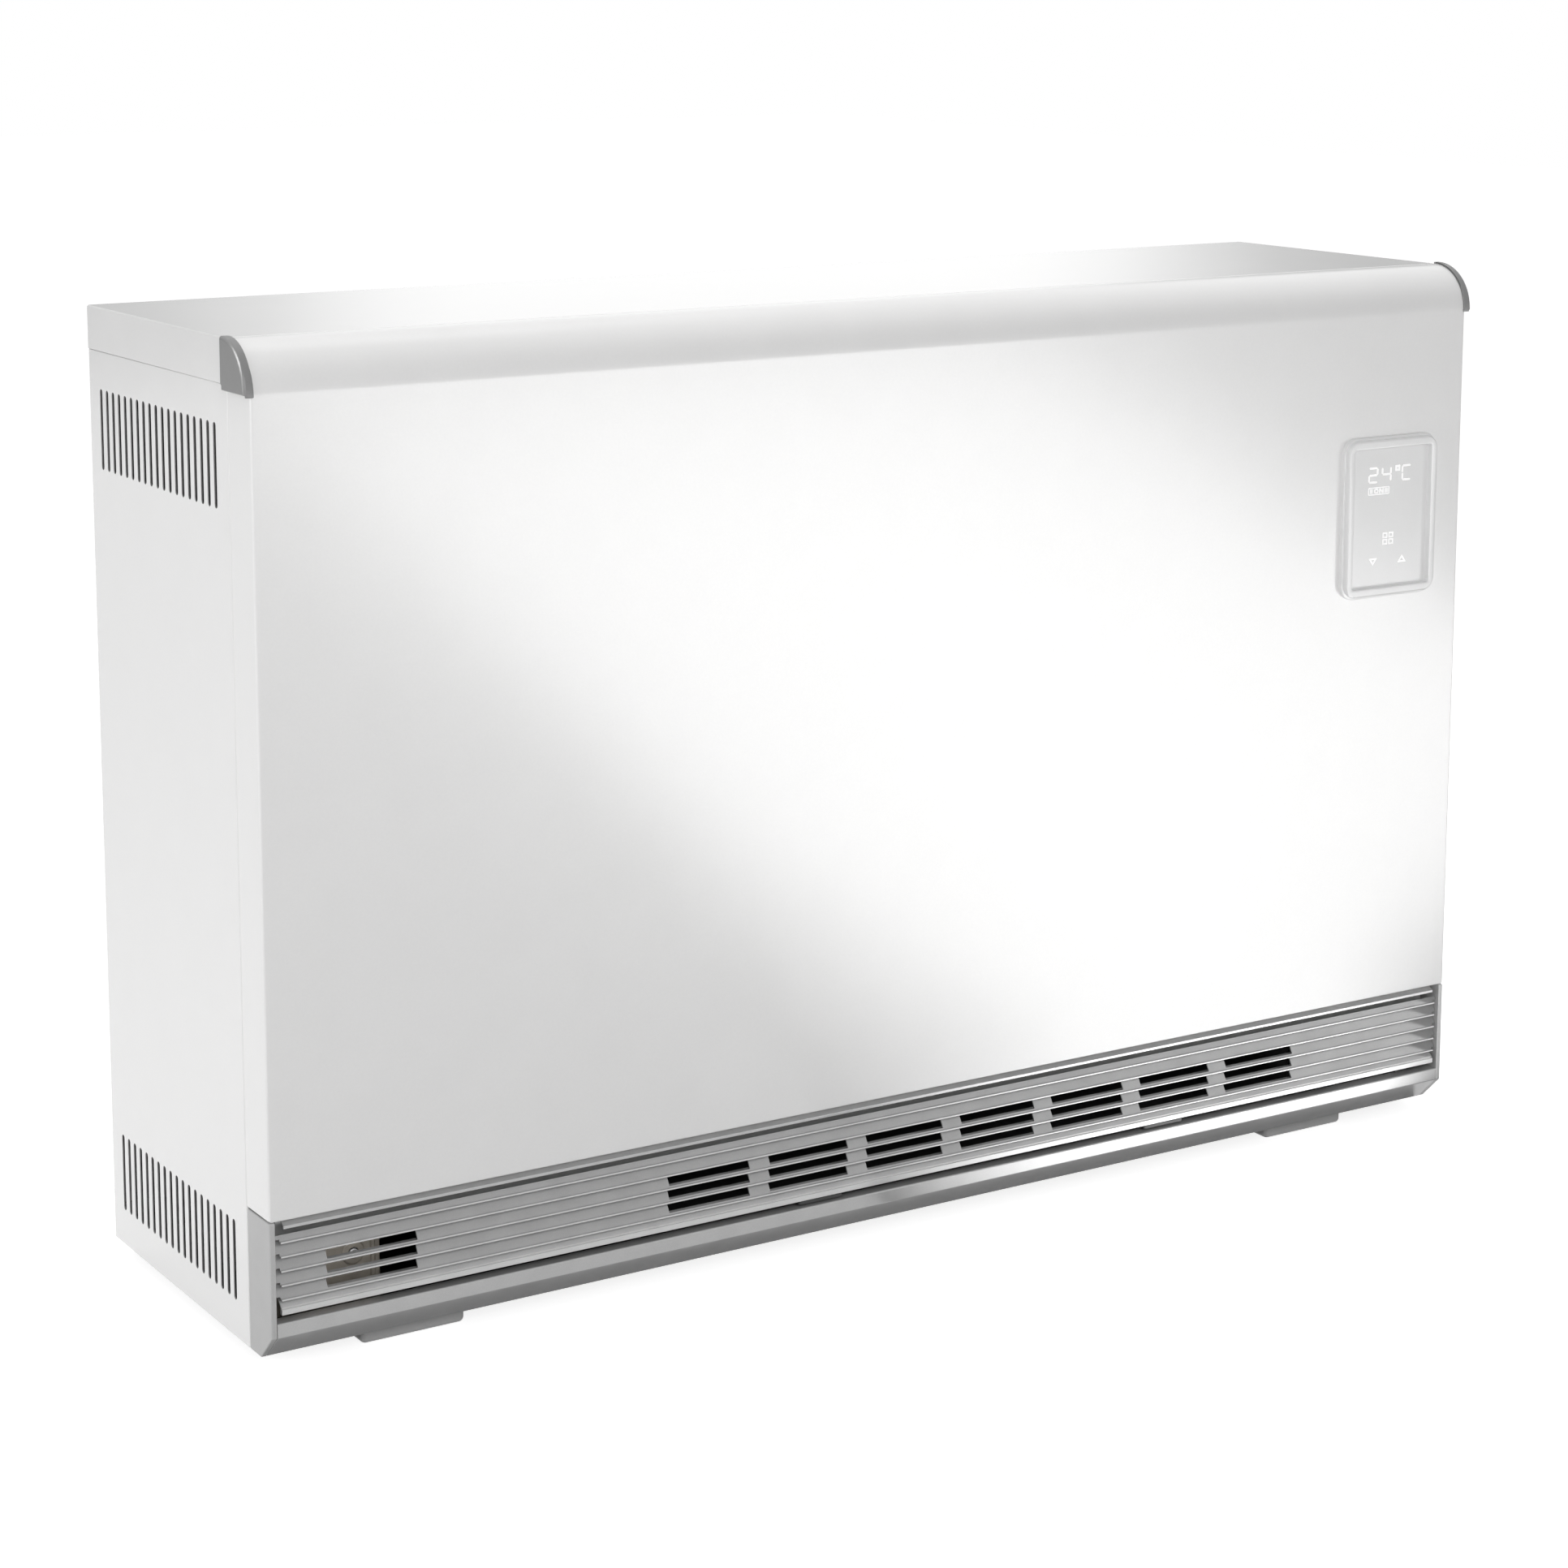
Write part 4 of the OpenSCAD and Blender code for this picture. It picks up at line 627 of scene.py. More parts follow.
CAP = box_of("right_corner_cap")
CAP_R = CAP.high - CAP.low
CAP_Y = CAP.front + CAP_R
CAP_RIM_X, CAP_RIM_R = 2.3, 1.0
BAND_X, BAND_R = 490, 32.85
# Width of the cap's front band at turns round the curve, from its foot up: the sheet laps over it in steps
CAP_BAND = [(0, 2.0), (10, 1.9), (22, 1.7), (41, 1.0), (43.5, 0.9), (45.5, 0.15), (90, 0.1)]


def in_steps(rows, step):
    """The rows with more of them put in between, so that no first value jumps by more than a step."""
    fine = []
    for (turn, width), (next_turn, next_width) in zip(rows, rows[1:]):
        count = ceil((next_turn - turn) / step)
        fine += [(turn + (next_turn - turn) * i / count, width + (next_width - width) * i / count)
                 for i in range(count)]
    return fine + [rows[-1]]


def skin(form, rings):
    """Joins rings of equally many vertices one after the other and shuts both ends."""
    count = len(rings[0])
    made = [form.faces.new((near[i], near[(i + 1) % count], far[(i + 1) % count], far[i]))
            for near, far in zip(rings, rings[1:]) for i in range(count)]
    made += [form.faces.new(rings[0]), form.faces.new(rings[-1])]
    bmesh.ops.recalc_face_normals(form, faces=made)


def corner_cap(hand):
    """A cap on the curve's end: its plate with a rounded rim, the band round the front and the lip below."""
    side, form = HAND[hand], bmesh.new()
    rim = [(CAP_RIM_X * (1 - cos(a)), CAP_RIM_R * (1 - cos(a)), CAP.right - CAP_RIM_X * (1 - sin(a)))
           for a in quarter_turn(8)]
    rings = []
    for arc_in, edge_in, x in [(0.1, 0.1, BAND_X), (0, 0, BAND_X + 0.1)] + rim:
        low, back, radius = CAP.low + edge_in, CAP.back - edge_in, CAP_R - arc_in
        outline = [(CAP_Y - radius * cos(a), max(low, CAP.low + radius * sin(a))) for a in quarter_turn(36)]
        outline += [(back, CAP.low + radius), (back, LID.low + 0.2 + edge_in),
                    (back - 1.4, LID.low - 0.8 + edge_in), (back - 1.4, low)]
        rings.append([form.verts.new(place(side * x, y, z)) for y, z in outline])
    skin(form, rings)
    rings = []
    for turn, width in in_steps(CAP_BAND, 3):
        edge = FRONT.right - width
        section = [(BAND_R, edge), (33.2, edge), (CAP_R, edge + 0.25), (CAP_R, BAND_X), (BAND_R, BAND_X)]
        rings.append([form.verts.new(place(side * x, CAP_Y - radius * cos(radians(turn)),
                                           CAP.low + radius * sin(radians(turn)))) for radius, x in section])
    skin(form, rings)
    lip = rounded((CAP.front, 616.4, 0.9), (0.6, 616.4, 0.5), (0.6, 618.4, 0), (CAP.front, 618.4, 0))
    bar(form, lip, FRONT.right - 2.1, 494.6, lambda u, v, w: (side * w, u, v), 0.4)
    piece(hand + "_cap", form, [cap_plastic], [hand + "_corner_cap"])


# ---- Air outlet ----

CHEEK, TRIM, GRILLE, RAIL = [box_of(node) for node in (
    "right_end_piece", "bottom_trim", "outlet_grille", "grille_top_rail")]
CHAMFER, TRIM_T = 17.8, 1.6
RIBS, SLOTTED_ROWS = 5, 3
RIB_LOW, RIB_PITCH, RIB_T = 42, 9.5, 1.2
RIB_X = CHEEK.left - 3.8
BLADE_FOOT_Y, BLADE_HEAD_Y, BLADE_T = 2.2, 7, 1.0
SLOT_W, SLOT_PITCH = 63.7, 79.9
SLOT_BELOW, SLOT_ABOVE = 0.85, 1.95
SLOTS = [(left, left + SLOT_W) for left in [-199.5 + SLOT_PITCH * i for i in range(7)] + [-450.9]]


def end_piece(hand):
    """The cheek beside the outlet, with the trim's chamfer at its foot."""
    side, form = HAND[hand], bmesh.new()
    outline = rounded((0, CHEEK.high, 1), (0, CHAMFER, 1.2), (CHAMFER, 0, 1.2), (CHEEK.back, 0, 1),
                      (CHEEK.back, CHEEK.high, 1))
    prism(form, outline, edge_rounding(CHEEK.left, CHEEK.right, 0.9, 0.3), lambda u, v, w: (side * w, u, v))
    piece(hand + "_end_cheek", form, [cheek_paint], [hand + "_end_piece"])


def bottom_trim():
    """The folded strip under the grille: ledge, upright face, chamfer and the return underneath."""
    form = bmesh.new()
    path = [(10, TRIM.high, 0), (0, TRIM.high, 1.0), (0, CHAMFER, 1.2), (CHAMFER, 0, 1.2), (TRIM.back, 0, 0)]
    bar(form, bent_sheet(path, TRIM_T), TRIM.left, TRIM.right, along_x, 0.25)
    piece("foot_trim", form, [outlet_paint], ["bottom_trim"])


def blade(form, low, high, slots):
    """Adds a strip that leans back from its foot to its head, with its slots cut through."""
    rise = high - low
    lean = (BLADE_HEAD_Y - BLADE_FOOT_Y) * rise / (RIB_PITCH - RIB_T)
    length = (rise ** 2 + lean ** 2) ** 0.5
    up_y, up_z = lean / length, rise / length

    def spot(u, v, w):
        return u, BLADE_FOOT_Y + v * up_y + w * up_z, low + v * up_z - w * up_y

    end, notch = GRILLE.right, 1.3
    outline = rounded((-end, notch), (-RIB_X, notch), (-RIB_X, 0), (RIB_X, 0), (RIB_X, notch), (end, notch),
                      (end, length), (-end, length))
    openings = [block(x0, SLOT_BELOW * length / rise, x1, (rise - SLOT_ABOVE) * length / rise, 0.25)
                for x0, x1 in slots]
    # Finish 1 is the darker copy of the outlet paint, painted shade on the blades
    prism(form, outline, [(0, 0), (0, BLADE_T)], spot, openings, edge_rounding(0, BLADE_T, 0.15), finish=1)


def outlet():
    """The grille: ribs, the leaning blades between them and the lip below."""
    form = bmesh.new()
    levels = [RIB_LOW + k * RIB_PITCH for k in range(RIBS)]
    for z in levels:
        low, high = z - RIB_T / 2, z + RIB_T / 2
        nose = rounded((0, low, 0.45), (0, high, 0.45), (GRILLE.back, high, 0), (GRILLE.back, low, 0))
        bar(form, nose[::-1], -RIB_X, RIB_X, along_x, 0.2)
    for k, z in enumerate(levels[:-1]):
        blade(form, z + RIB_T / 2, levels[k + 1] - RIB_T / 2, SLOTS if k < SLOTTED_ROWS else ())
    blade(form, levels[-1] + RIB_T / 2, GRILLE.high, ())
    ledge = RIB_LOW - RIB_T / 2
    lip = rounded((6.6, ledge, 0), (8.1, ledge, 0), (3.4, 36.9, 0), (3.4, GRILLE.low, 0),
                  (0.4, GRILLE.low, 0.3), (0.4, 35.6, 0.3), (1.6, 36, 0.2), (1.2, 36.7, 0.3))
    bar(form, lip, -RIB_X, RIB_X, along_x, 0.2)
    # The second finish is the outlet paint darkened as painted shade on the blades
    piece("outlet_grille_blades", form, [outlet_paint, blade_paint_painted_shade], ["outlet_grille"])


def top_rail():
    """The rail over the grille: a nose, the slope behind it and a leg hanging down at the back."""
    form = bmesh.new()
    front, back, high, low = RAIL.front, RAIL.back, RAIL.high, RAIL.low
    outline = rounded((front, 88.8, 0.25), (front, 90.8, 0.4), (1.4, 91.2, 0.3), (5.6, high, 0.3),
                      (back, high, 0), (back, low, 0), (back - SHEET, low, 0), (back - SHEET, 92.9, 0),
                      (6, 92.9, 0), (2.6, 90.4, 0), (2.6, 88.8, 0))
    bar(form, outline, RAIL.left, RAIL.right, along_x, 0.2)
    piece("outlet_top_rail", form, [outlet_paint], ["grille_top_rail"])


# ---- Feet ----

FOOT = box_of("right_foot")
FOOT_EDGE_R, FIXING_PITCH, FIXING_R = 3.5, 150, 4


def foot(hand):
    """A flat cup, open above, with two holes for the floor screws."""
    side, form = HAND[hand], bmesh.new()
    mid_x, mid_y = (FOOT.left + FOOT.right) / 2, (FOOT.front + FOOT.back) / 2
    under = [(FOOT_EDGE_R * (1 - sin(a)), FOOT.low + FOOT_EDGE_R * (1 - cos(a))) for a in quarter_turn(8)]
    inside = [(0, -0.2), (0.2, 0), (1.8, 0), (2, -0.2), (2, -9.2), (2.8, -10)]
    prism(form, block(FOOT.left, FOOT.front, FOOT.right, FOOT.back, 4), under + inside,
          lambda u, v, w: (side * u, v, w),
          [disc(mid_x, mid_y + way * FIXING_PITCH / 2, FIXING_R, 28) for way in (-1, 1)],
          [(-0.5, FOOT.low), (0, FOOT.low + 0.5), (0, -10)])
    piece(hand + "_foot_cup", form, [foot_plastic], [hand + "_foot"])


# ---- Sensor bracket, screws and cable way ----

BRACKET = box_of("sensor_bracket")
BRACKET_T, BRACKET_FOLD_R = 1.2, 1.5
SCREW_X, SCREW_Z = BRACKET.right - 19.5, 48


def around(x, z, face_y, way=1):
    """Places turned and pressed forms with their axis along y; depth counts from the face."""
    return lambda u, v, w: (x + u, face_y + way * w, z + v)


def sensor_bracket():
    """The plate behind the grille's left window: two flanges, a boss for its screw and two pressed ribs."""
    form = bmesh.new()
    face = BRACKET.front
    folded_sheet(form, (BRACKET.left, BRACKET.low + BRACKET_T, BRACKET.right - BRACKET_FOLD_R,
                        BRACKET.high - 0.2),
                 {"right": fold(BRACKET_FOLD_R, BRACKET.back - face), "low": fold(BRACKET_T, 20)},
                 BRACKET_T, lambda u, v, w: (u, face + w, v),
                 [block(-484, 76, -470, 82, 2.9), block(-430, 80, -410, 84, 1.9), disc(-478, 30, 3.2)])
    lathe(form, [(0, -0.7), (7.2, -0.7), (7.9, -0.35), (8.4, 0.1), (8.4, 0.5), (0, 0.5)],
          around(SCREW_X, SCREW_Z, face), 40)
    for x, low, high in ((-460, 8, 70), (-402.5, 6, 90)):
        section = rounded((x - 2.2, face + 0.3, 0), (x + 2.2, face + 0.3, 0), (x + 1, face - 0.9, 0.6),
                          (x - 1, face - 0.9, 0.6))
        bar(form, section, low, high, along_z, 0.5)
    piece("sensor_bracket_plate", form, [bracket_zinc], ["sensor_bracket"])


def pan_screw(form, spot):
    """A domed head with a cross recess; it stands on depth 0 and rises to depth -2."""
    arm, half = 2.3, 0.45
    cross = [(-half, -arm), (half, -arm), (half, -half), (arm, -half), (arm, half), (half, half),
             (half, arm), (-half, arm), (-half, half), (-arm, half), (-arm, -half), (-half, -half)]
    dome = [(1.3, -2), (0.6, -1.75), (0.2, -1.3), (0, -0.7), (0, 0)]
    prism(form, disc(0, 0, 4, 36), dome, spot, [[Vector(p) for p in cross]],
          [(0, -2), (0.1, -0.9), (0.1, 0)])
    lathe(form, [(0, -0.9), (3, -0.9), (3, -0.2), (0, -0.2)], spot, 20)


def casing_screws():
    form = bmesh.new()
    for x, z in REAR_SCREWS:
        pan_screw(form, around(x, z, REAR.back, -1))
    pan_screw(form, around(SCREW_X, SCREW_Z, BRACKET.front))
    piece("casing_screw_heads", form, [screw_steel], ["casing_screws"])


def cable_grommet():
    """A rubber ring with a groove for the back panel's sheet and a ring of grip dots on its lip."""
    form = bmesh.new()
    lip = [(0.6, -1.5), (0.2, -1.3), (0, -0.9), (0, -0.1), (2.6, 0), (2.6, 1), (0, 1.05), (0, 2.8),
           (0.3, 3), (2.6, 3.1), (2.9, 11.6), (3.3, 12)]
    bore = [(0.7, -1.5), (0.2, -1.3), (0, -0.8), (0, 11.5), (0.4, 12)]
    prism(form, disc(0, 0, 11.5, 56), lip, around(CABLE_X, CABLE_Z, REAR.back, -1),
          [disc(0, 0, 6.5, 48)], bore)
    for dot in disc(CABLE_X, CABLE_Z, 10, 16):
        lathe(form, [(0, -1.62), (0.28, -1.55), (0.45, -1.3), (0, -1.3)],
              around(dot.x, dot.y, REAR.back, -1), 10)
    piece("cable_grommet_ring", form, [rubber], ["cable_grommet"])


# ---- Lint filter ----

FILTER = box_of("lint_filter_frame")
FILTER_MID = (FILTER.left + FILTER.right) / 2
FILTER_EDGE_Y, GRIP_X, GRIP_W = 8, 150, 36
BAYS, FILTER_BAR, BAY_FRONT, BAY_BACK = 5, 10, 28, 212
BAY_W = (FILTER.right - FILTER.left - FILTER_BAR) / BAYS - FILTER_BAR
THREAD, THREAD_PITCH, WEAVE_Z = 0.34, 1.6, 29.5


def filter_tray(bays):
    """The filter's frame with its windows, two grips in front and two thin bars across each window."""
    form = bmesh.new()
    edge = [(FILTER.left, FILTER_EDGE_Y, 1.5)]
    for x in (FILTER_MID - GRIP_X, FILTER_MID + GRIP_X):
        left, right = x - GRIP_W / 2, x + GRIP_W / 2
        edge += [(left, FILTER_EDGE_Y, 1.2), (left, FILTER.front, 2), (right, FILTER.front, 2),
                 (right, FILTER_EDGE_Y, 1.2)]
    edge += [(FILTER.right, FILTER_EDGE_Y, 1.5), (FILTER.right, FILTER.back, 2.5),
             (FILTER.left, FILTER.back, 2.5)]
    windows = [block(x, BAY_FRONT, x + BAY_W, BAY_BACK, 2.5) for x in bays]
    grips = [block(FILTER_MID + mid - 12, 4.4 + 2.4 * i, FILTER_MID + mid + 12, 5.4 + 2.4 * i, 0.45)
             for mid in (-GRIP_X, GRIP_X) for i in range(2)]
    prism(form, rounded(*edge), edge_rounding(FILTER.low, FILTER.high, 0.7), along_z, windows + grips,
          edge_rounding(FILTER.low, FILTER.high, 0.4))
    for x in bays:
        for along in (1 / 3, 2 / 3):
            y = BAY_FRONT + (BAY_BACK - BAY_FRONT) * along
            section = rounded((y - 0.7, 28.2, 0.2), (y + 0.7, 28.2, 0.2), (y + 0.5, 29.4, 0),
                              (y - 0.5, 29.4, 0))
            bar(form, section, x - 1, x + BAY_W + 1, along_x, 0.1)
    piece("lint_filter_tray", form, [filter_plastic], ["lint_filter_frame"], "lint_filter")


def filter_weave(bays):
    """Threads from front to back in each window, and threads across all of them lying on top."""
    form = bmesh.new()
    low = THREAD / 2
    for x in bays:
        for i in range(int(BAY_W / THREAD_PITCH)):
            u = x + THREAD_PITCH * (i + 0.7)
            bar(form, block(u - low, WEAVE_Z - 0.2, u + low, WEAVE_Z), 19, 216,
                lambda p, q, w: (p, w, q), 0)
    for i in range(int((BAY_BACK - BAY_FRONT) / THREAD_PITCH)):
        v = BAY_FRONT + THREAD_PITCH * (i + 0.5)
        bar(form, block(v - low, WEAVE_Z, v + low, WEAVE_Z + 0.2), FILTER.left + 6, FILTER.right - 6,
            along_x, 0)
    piece("lint_filter_weave", form, [filter_thread], ["lint_filter_mesh"], "lint_filter")


def lint_filter():
    bays = [FILTER.left + FILTER_BAR + i * (BAY_W + FILTER_BAR) for i in range(BAYS)]
    filter_tray(bays)
    filter_weave(bays)


# ---- Display ----

VIEW_W, VIEW_H = 74.8, 104.6
VIEW_LEFT, VIEW_TOP = DISPLAY_X - VIEW_W / 2, DISPLAY_Z + VIEW_H / 2
WINDOW = box_of("display_window")
PRINT = [(0, -2.1), (0, -2.27)]
STROKE = 1.35
FIGURE_W, FIGURE_H, FIGURE_TOP = 8.2, 10.6, 15.2


def display_surround():
    """The frame with its stepped, rounded rim and the sleeve that goes through the front panel."""
    form = bmesh.new()
    outside = [(0, 0), (0, -2.4), (0.25, -2.95), (0.8, -3.2), (1.7, -3.2), (1.8, -3.3), (1.8, -5.6),
               (2.0, -6.3), (2.5, -6.8), (3.2, DISPLAY.front)]
    inside = [(0, 0), (0, -6.2), (0.3, -6.8), (0.9, DISPLAY.front)]
    prism(form, display_outline(DISPLAY.right - DISPLAY.left, DISPLAY.high - DISPLAY.low, 12), outside,
          along_y, [display_outline(VIEW_W, VIEW_H, 2)], inside)
    bar(form, display_outline(81.8, 111.6, 4), 0, DISPLAY.back, along_y, 0.2,
        holes=[display_outline(78.8, 108.6, 2.5)])
    piece("display_surround", form, [display_enamel], ["display_frame"])


def display_window():
    form = bmesh.new()
    bar(form, display_outline(78.2, 108, 2), WINDOW.front, WINDOW.back, along_y, 0.3)
    piece("display_pane", form, [window_plastic], ["display_window"])


def symbol(form, points, line=0):
    """A printed sign, or its outline of that width, from points (mm right, mm down) of the view's corner."""
    outline = [Vector((VIEW_LEFT + x, VIEW_TOP - z)) for x, z in points]
    if area(outline) < 0:
        outline = outline[::-1]
    prism(form, outline, PRINT, along_y, [moved_in(outline, line)] if line else ())


def oblong(x, z, width, height):
    return [(x, z), (x + width, z), (x + width, z + height), (x, z + height)]


def stroke(form, x0, z0, x1, z1):
    """One bar of a seven-bar figure, with pointed ends."""
    a, b = Vector((x0, z0)), Vector((x1, z1))
    along = (b - a).normalized()
    across = Vector((-along.y, along.x)) * STROKE / 2
    tip = along * STROKE / 2
    symbol(form, [a, a + tip + across, b - tip + across, b, b - tip - across, a + tip - across])


def figure(form, left, bars):
    """A seven-bar figure from the names of the bars that are lit."""
    half, across, down = FIGURE_H / 2, FIGURE_W, FIGURE_H
    lines = {"top": (0, 0, across, 0), "middle": (0, half, across, half), "low": (0, down, across, down),
             "upper_left": (0, 0, 0, half), "upper_right": (across, 0, across, half),
             "lower_left": (0, half, 0, down), "lower_right": (across, half, across, down)}
    for name in bars:
        x0, z0, x1, z1 = lines[name]
        gap = Vector((x1 - x0, z1 - z0)).normalized() * 0.25
        stroke(form, left + x0 + gap.x, FIGURE_TOP + z0 + gap.y, left + x1 - gap.x,
               FIGURE_TOP + z1 - gap.y)


def display_symbols():
    """A temperature, a small state badge below it, a menu sign and a down and an up arrow."""
    form = bmesh.new()
    figure(form, 17.6, ["top", "upper_right", "middle", "lower_left", "low"])
    figure(form, 30.6, ["upper_left", "middle", "upper_right", "lower_right"])
    symbol(form, oblong(43.2, 14.4, 4.6, 4.4), 1.4)
    figure(form, 50.2, ["top", "upper_left", "lower_left", "low"])
    symbol(form, [(p.x, p.y) for p in block(17.2, 29.7, 37.8, 35.4, 1)], 0.6)
    for x in (18.9, 19.9, 20.9, 33.1, 34.1, 35.1, 36.1):
        symbol(form, oblong(x, 30.9, 0.45, 3.3))
    symbol(form, [(p.x, p.y) for p in block(23, 30.8, 27, 34.3, 1.4)], 0.9)
    for x in (28, 31.2):
        symbol(form, oblong(x, 30.8, 0.9, 3.5))
    symbol(form, [(28.2, 30.8), (29.3, 30.8), (31.9, 34.3), (30.8, 34.3)])
    for x in (32.6, 38.4):
        for z in (64.5, 69.5):
            symbol(form, oblong(x, z, 4.5, 4.1), 0.85)
    symbol(form, [(19.6, 83.2), (27.5, 83.2), (23.55, 88.6)], 1.05)
    symbol(form, [(48, 88.2), (56, 88.2), (52, 82.7)], 1.05)
    piece("display_symbols", form, [symbol_light])


front_sheet()
lid_sheet()
rear_sheet()
for hand in HAND:
    side_sheet(hand)
    corner_cap(hand)
    end_piece(hand)
    foot(hand)
bottom_trim()
outlet()
top_rail()
sensor_bracket()
casing_screws()
cable_grommet()
lint_filter()
display_surround()
display_window()
display_symbols()


# ---- Stage ----

# The softbox on the floor that the front mirrors as a slanting band, in metres:
# (y, left, right, half the width of the left soft edge, half that of the right one, glow)
FLOOR_SHINE = [
    (-0.135, 0.09, 0.47, 0.1, 0.04, 0), (-0.175, 0.1, 0.5, 0.1, 0.04, 7.4),
    (-0.32, 0.17, 0.61, 0.12, 0.07, 7.4), (-0.47, 0.255, 0.8, 0.14, 0.12, 7.4),
    (-0.75, 0.315, 1.25, 0.12, 0.2, 7.4), (-1.2, 0.43, 1.8, 0.08, 0.2, 7.5),
    (-1.6, 0.55, 2.0, 0.06, 0.15, 7.6), (-2.2, 0.71, 2.2, 0.06, 0.12, 7.8),
    (-2.9, 0.9, 2.57, 0.06, 0.1, 7.9), (-3.84, 1.16, 3.05, 0.06, 0.08, 7.9),
    (-5.3, 1.55, 3.75, 0.06, 0.08, 7.9), (-5.5, 1.6, 3.8, 0.06, 0.08, 0)]
FLOOR_SHINE_Z = 0.012
# The wall behind the heater that the lid mirrors, in metres: (x, y, glow)
WALL_SHINE = [
    (-2.5, 3.2, 0.4), (0.6, 3.2, 0.4), (0.69, 3.2, 0.42), (0.79, 3.2, 0.5), (0.9, 3.2, 0.61),
    (0.98, 3.2, 0.68), (1.08, 3.2, 0.86), (1.2, 3.2, 1), (1.33, 3.2, 1.06), (2.45, 3.2, 1.06),
    (2.55, 3.2, 1.04), (2.72, 3.2, 0.93), (2.93, 3.2, 0.65), (3.07, 3.15, 0.44), (3.25, 3.08, 0.34),
    (5.2, 2.4, 0.33)]
WALL_SHINE_Z = (0.2, 2.4)
# The camera, from a fit to the photograph: its picture's width, focal length and shift in pixels, its
# turns in degrees, and its distance from the point it is turned round, in millimetres
PHOTO_PX, FOCAL_PX, SHIFT_PX = 1932, 4316.4, 326
VIEW_TURN, VIEW_HEIGHT, VIEW_ROLL = -32.058, 9.295, 0.100
VIEW_POINT, VIEW_AWAY = (-111.1, 0, 509.9), 2329.4
SENSOR_W = 36


def bare_paint(name):
    """A stage material with nothing wired to its output, and its node tree."""
    made = bpy.data.materials.new(name)
    made.use_nodes = True
    made.node_tree.nodes.remove(made.node_tree.nodes["Principled BSDF"])
    return made, made.node_tree


def seen_directly(tree):
    """A result that is 1 for rays from the camera, off gloss and through glass, and else 0."""
    ray = tree.nodes.new("ShaderNodeLightPath").outputs
    seen = maths(tree, "MAXIMUM", ray["Is Camera Ray"], ray["Is Glossy Ray"])
    return maths(tree, "MAXIMUM", seen, ray["Is Transmission Ray"])


def stage_floor():
    """A pale floor that takes the heater's shadow and looks white where it is seen directly."""
    mesh = bpy.data.meshes.new("studio_floor")
    mesh.from_pydata([(-9, -9, 0), (9, -9, 0), (9, 14, 0), (-9, 14, 0)], [], [(0, 1, 2, 3)])
    stand("studio_floor", mesh)
    paint, tree = bare_paint("studio_floor")
    node, link = tree.nodes.new, tree.links.new
    matt, lit, shown = node("ShaderNodeBsdfDiffuse"), node("ShaderNodeEmission"), node("ShaderNodeAddShader")
    matt.inputs["Color"].default_value = (*grey(0.55), 1)
    link(maths(tree, "MULTIPLY", seen_directly(tree), 0.82), lit.inputs["Strength"])
    link(matt.outputs[0], shown.inputs[0])
    link(lit.outputs[0], shown.inputs[1])
    link(shown.outputs[0], tree.nodes["Material Output"].inputs["Surface"])
    mesh.materials.append(paint)


def sky():
    """A soft grey light from all sides, white where it is seen directly."""
    world = bpy.data.worlds.new("studio")
    bpy.context.scene.world = world
    world.use_nodes = True
    tree = world.node_tree
    node, link = tree.nodes.new, tree.links.new
    soft, white, mix = tree.nodes["Background"], node("ShaderNodeBackground"), node("ShaderNodeMixShader")
    for background, strength in ((soft, 0.42), (white, 1.0)):
        background.inputs["Color"].default_value = (1, 1, 1, 1)
        background.inputs["Strength"].default_value = strength
    link(seen_directly(tree), mix.inputs[0])
    link(soft.outputs[0], mix.inputs[1])
    link(white.outputs[0], mix.inputs[2])
    link(mix.outputs[0], tree.nodes["World Output"].inputs["Surface"])


def lamp(name, spot, aim, size, power, mirrored=True, lights=True, only=()):
    """A soft lamp of size (width, height) in metres at spot, turned towards aim; only: pieces it lights."""
    data = bpy.data.lights.new(name, "AREA")
    data.shape = "RECTANGLE"
    data.size, data.size_y = size
    data.energy = power
    made = bpy.data.objects.new(name, data)
    made.location = spot
    made.rotation_euler = (Vector(aim) - Vector(spot)).to_track_quat("-Z", "Y").to_euler()
    made.visible_camera = False
    made.visible_glossy = mirrored
    made.visible_diffuse = lights
    bpy.context.scene.collection.objects.link(made)
    if only:
        lit = bpy.data.collections.new(name + "_lights")
        for piece_name in only:
            lit.objects.link(bpy.data.objects[piece_name])
        made.light_linking.receiver_collection = lit


def shine_card(name, rows):
    """A card outside the picture that only glossy faces mirror, as rows of points (x, y, z, glow)."""
    mesh = bpy.data.meshes.new(name)
    wide = len(rows[0])
    quads = [(r * wide + i, r * wide + i + 1, (r + 1) * wide + i + 1, (r + 1) * wide + i)
             for r in range(len(rows) - 1) for i in range(wide - 1)]
    points = [point for row in rows for point in row]
    mesh.from_pydata([point[:3] for point in points], [], quads)
    mesh.attributes.new("glow", "FLOAT", "POINT").data.foreach_set("value", [point[3] for point in points])
    paint, tree = bare_paint(name)
    glow, even = tree.nodes.new("ShaderNodeAttribute"), tree.nodes.new("ShaderNodeEmission")
    glow.attribute_name = "glow"
    tree.links.new(glow.outputs["Fac"], even.inputs["Strength"])
    tree.links.new(even.outputs[0], tree.nodes["Material Output"].inputs["Surface"])
    mesh.materials.append(paint)
    made = stand(name, mesh)
    made.visible_camera = made.visible_shadow = made.visible_diffuse = False


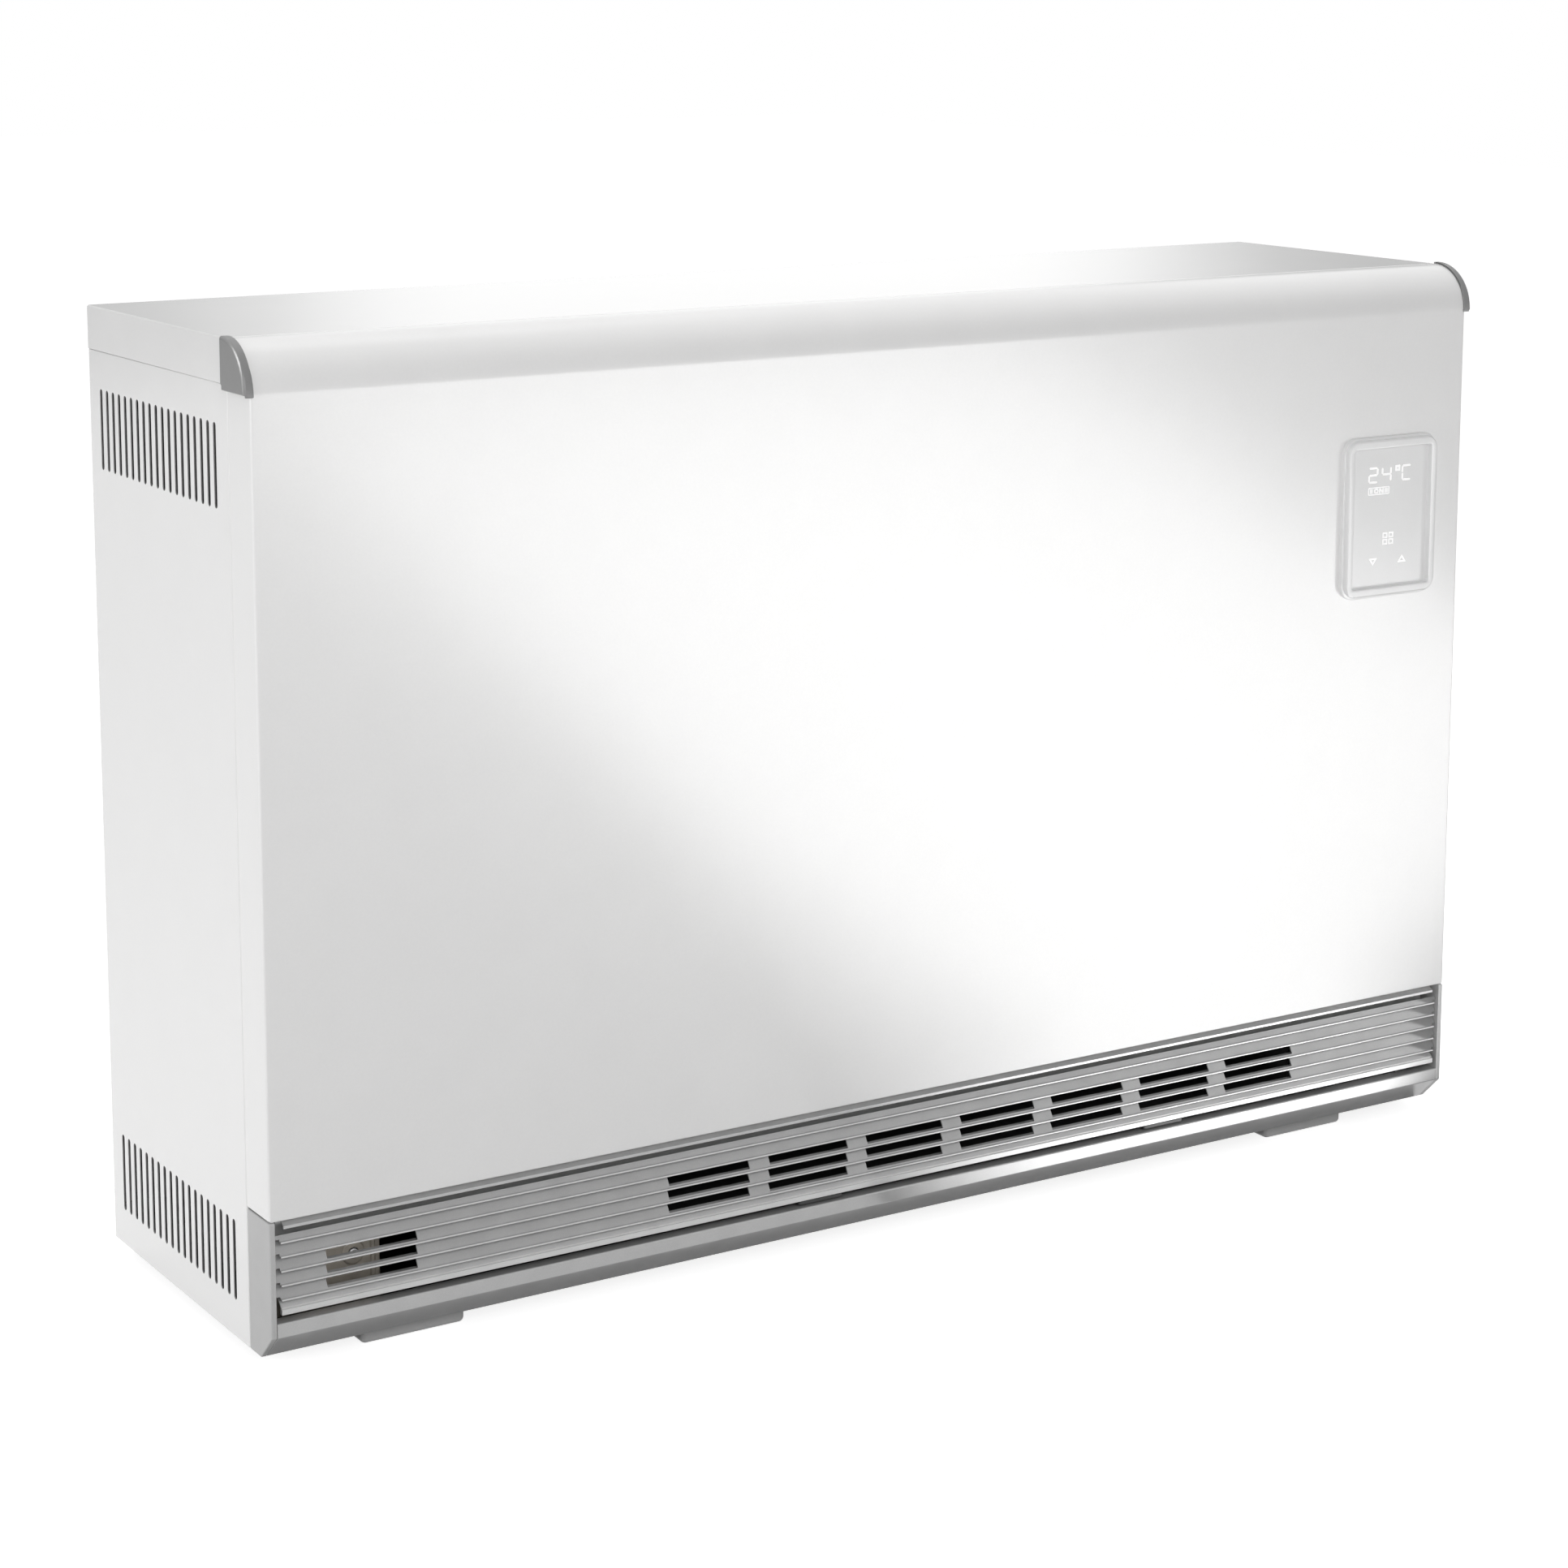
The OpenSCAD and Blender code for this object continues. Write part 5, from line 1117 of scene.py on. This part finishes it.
def camera():
    """The photograph's own view, from the left and a little above, with the picture moved by a lens shift."""
    turn, height, roll = radians(VIEW_TURN), radians(VIEW_HEIGHT), radians(VIEW_ROLL)
    right = Vector((cos(turn), sin(turn), 0))
    back = Vector((sin(turn) * cos(height), -cos(turn) * cos(height), sin(height)))
    up = back.cross(right)
    axis_x = right * cos(roll) + up * sin(roll)
    axis_y = up * cos(roll) - right * sin(roll)
    data = bpy.data.cameras.new("photo_view")
    data.sensor_width = SENSOR_W
    data.lens = FOCAL_PX / PHOTO_PX * SENSOR_W
    data.shift_y = -SHIFT_PX / PHOTO_PX
    data.clip_start, data.clip_end = 0.05, 60
    made = bpy.data.objects.new("photo_view", data)
    turned = Matrix((axis_x, axis_y, back)).transposed().to_4x4()
    made.matrix_world = Matrix.Translation(place(*VIEW_POINT) + back * VIEW_AWAY * MM) @ turned
    bpy.context.scene.collection.objects.link(made)
    bpy.context.scene.camera = made


stage_floor()
sky()
camera()
lamp("front_left_fill", (-0.85, -2.5, 1.3), (0.0, -0.13, 0.3), (1.6, 1.2), 22.5)
lamp("side_left", (-2.6, -0.2, 0.9), (-0.49, 0.0, 0.4), (1.4, 1.2), 20.5)
lamp("overhead", (0.2, 0.45, 2.2), (0.1, 0, 0.65), (0.9, 0.6), 15.5, mirrored=False)
lamp("cap_shine", (-2.3, -0.2, 2.4), (-0.49, -0.1, 0.6), (1.8, 1.8), 150, lights=False,
     only=["left_cap", "right_cap"])
lamp("outlet_side", (5.87, -1.25, 0.7), (0.49, -0.13, 0.1), (0.4, 0.4), 640, only=["outlet_grille_blades"])
shine_card("floor_shine", [[(left - soft, y, FLOOR_SHINE_Z, 0), (left + soft, y, FLOOR_SHINE_Z, glow),
                            (right - fade, y, FLOOR_SHINE_Z, glow), (right + fade, y, FLOOR_SHINE_Z, 0)]
                           for y, left, right, soft, fade, glow in FLOOR_SHINE])
shine_card("wall_shine", [[(x, y, z, glow) for x, y, glow in WALL_SHINE] for z in WALL_SHINE_Z])
shine_card("shade_below", [[(x, y, 0.003, 0.22) for x in (-0.49, 0.49)] for y in (-0.12, 0.13)])

bpy.context.scene.view_settings.view_transform = "Standard"
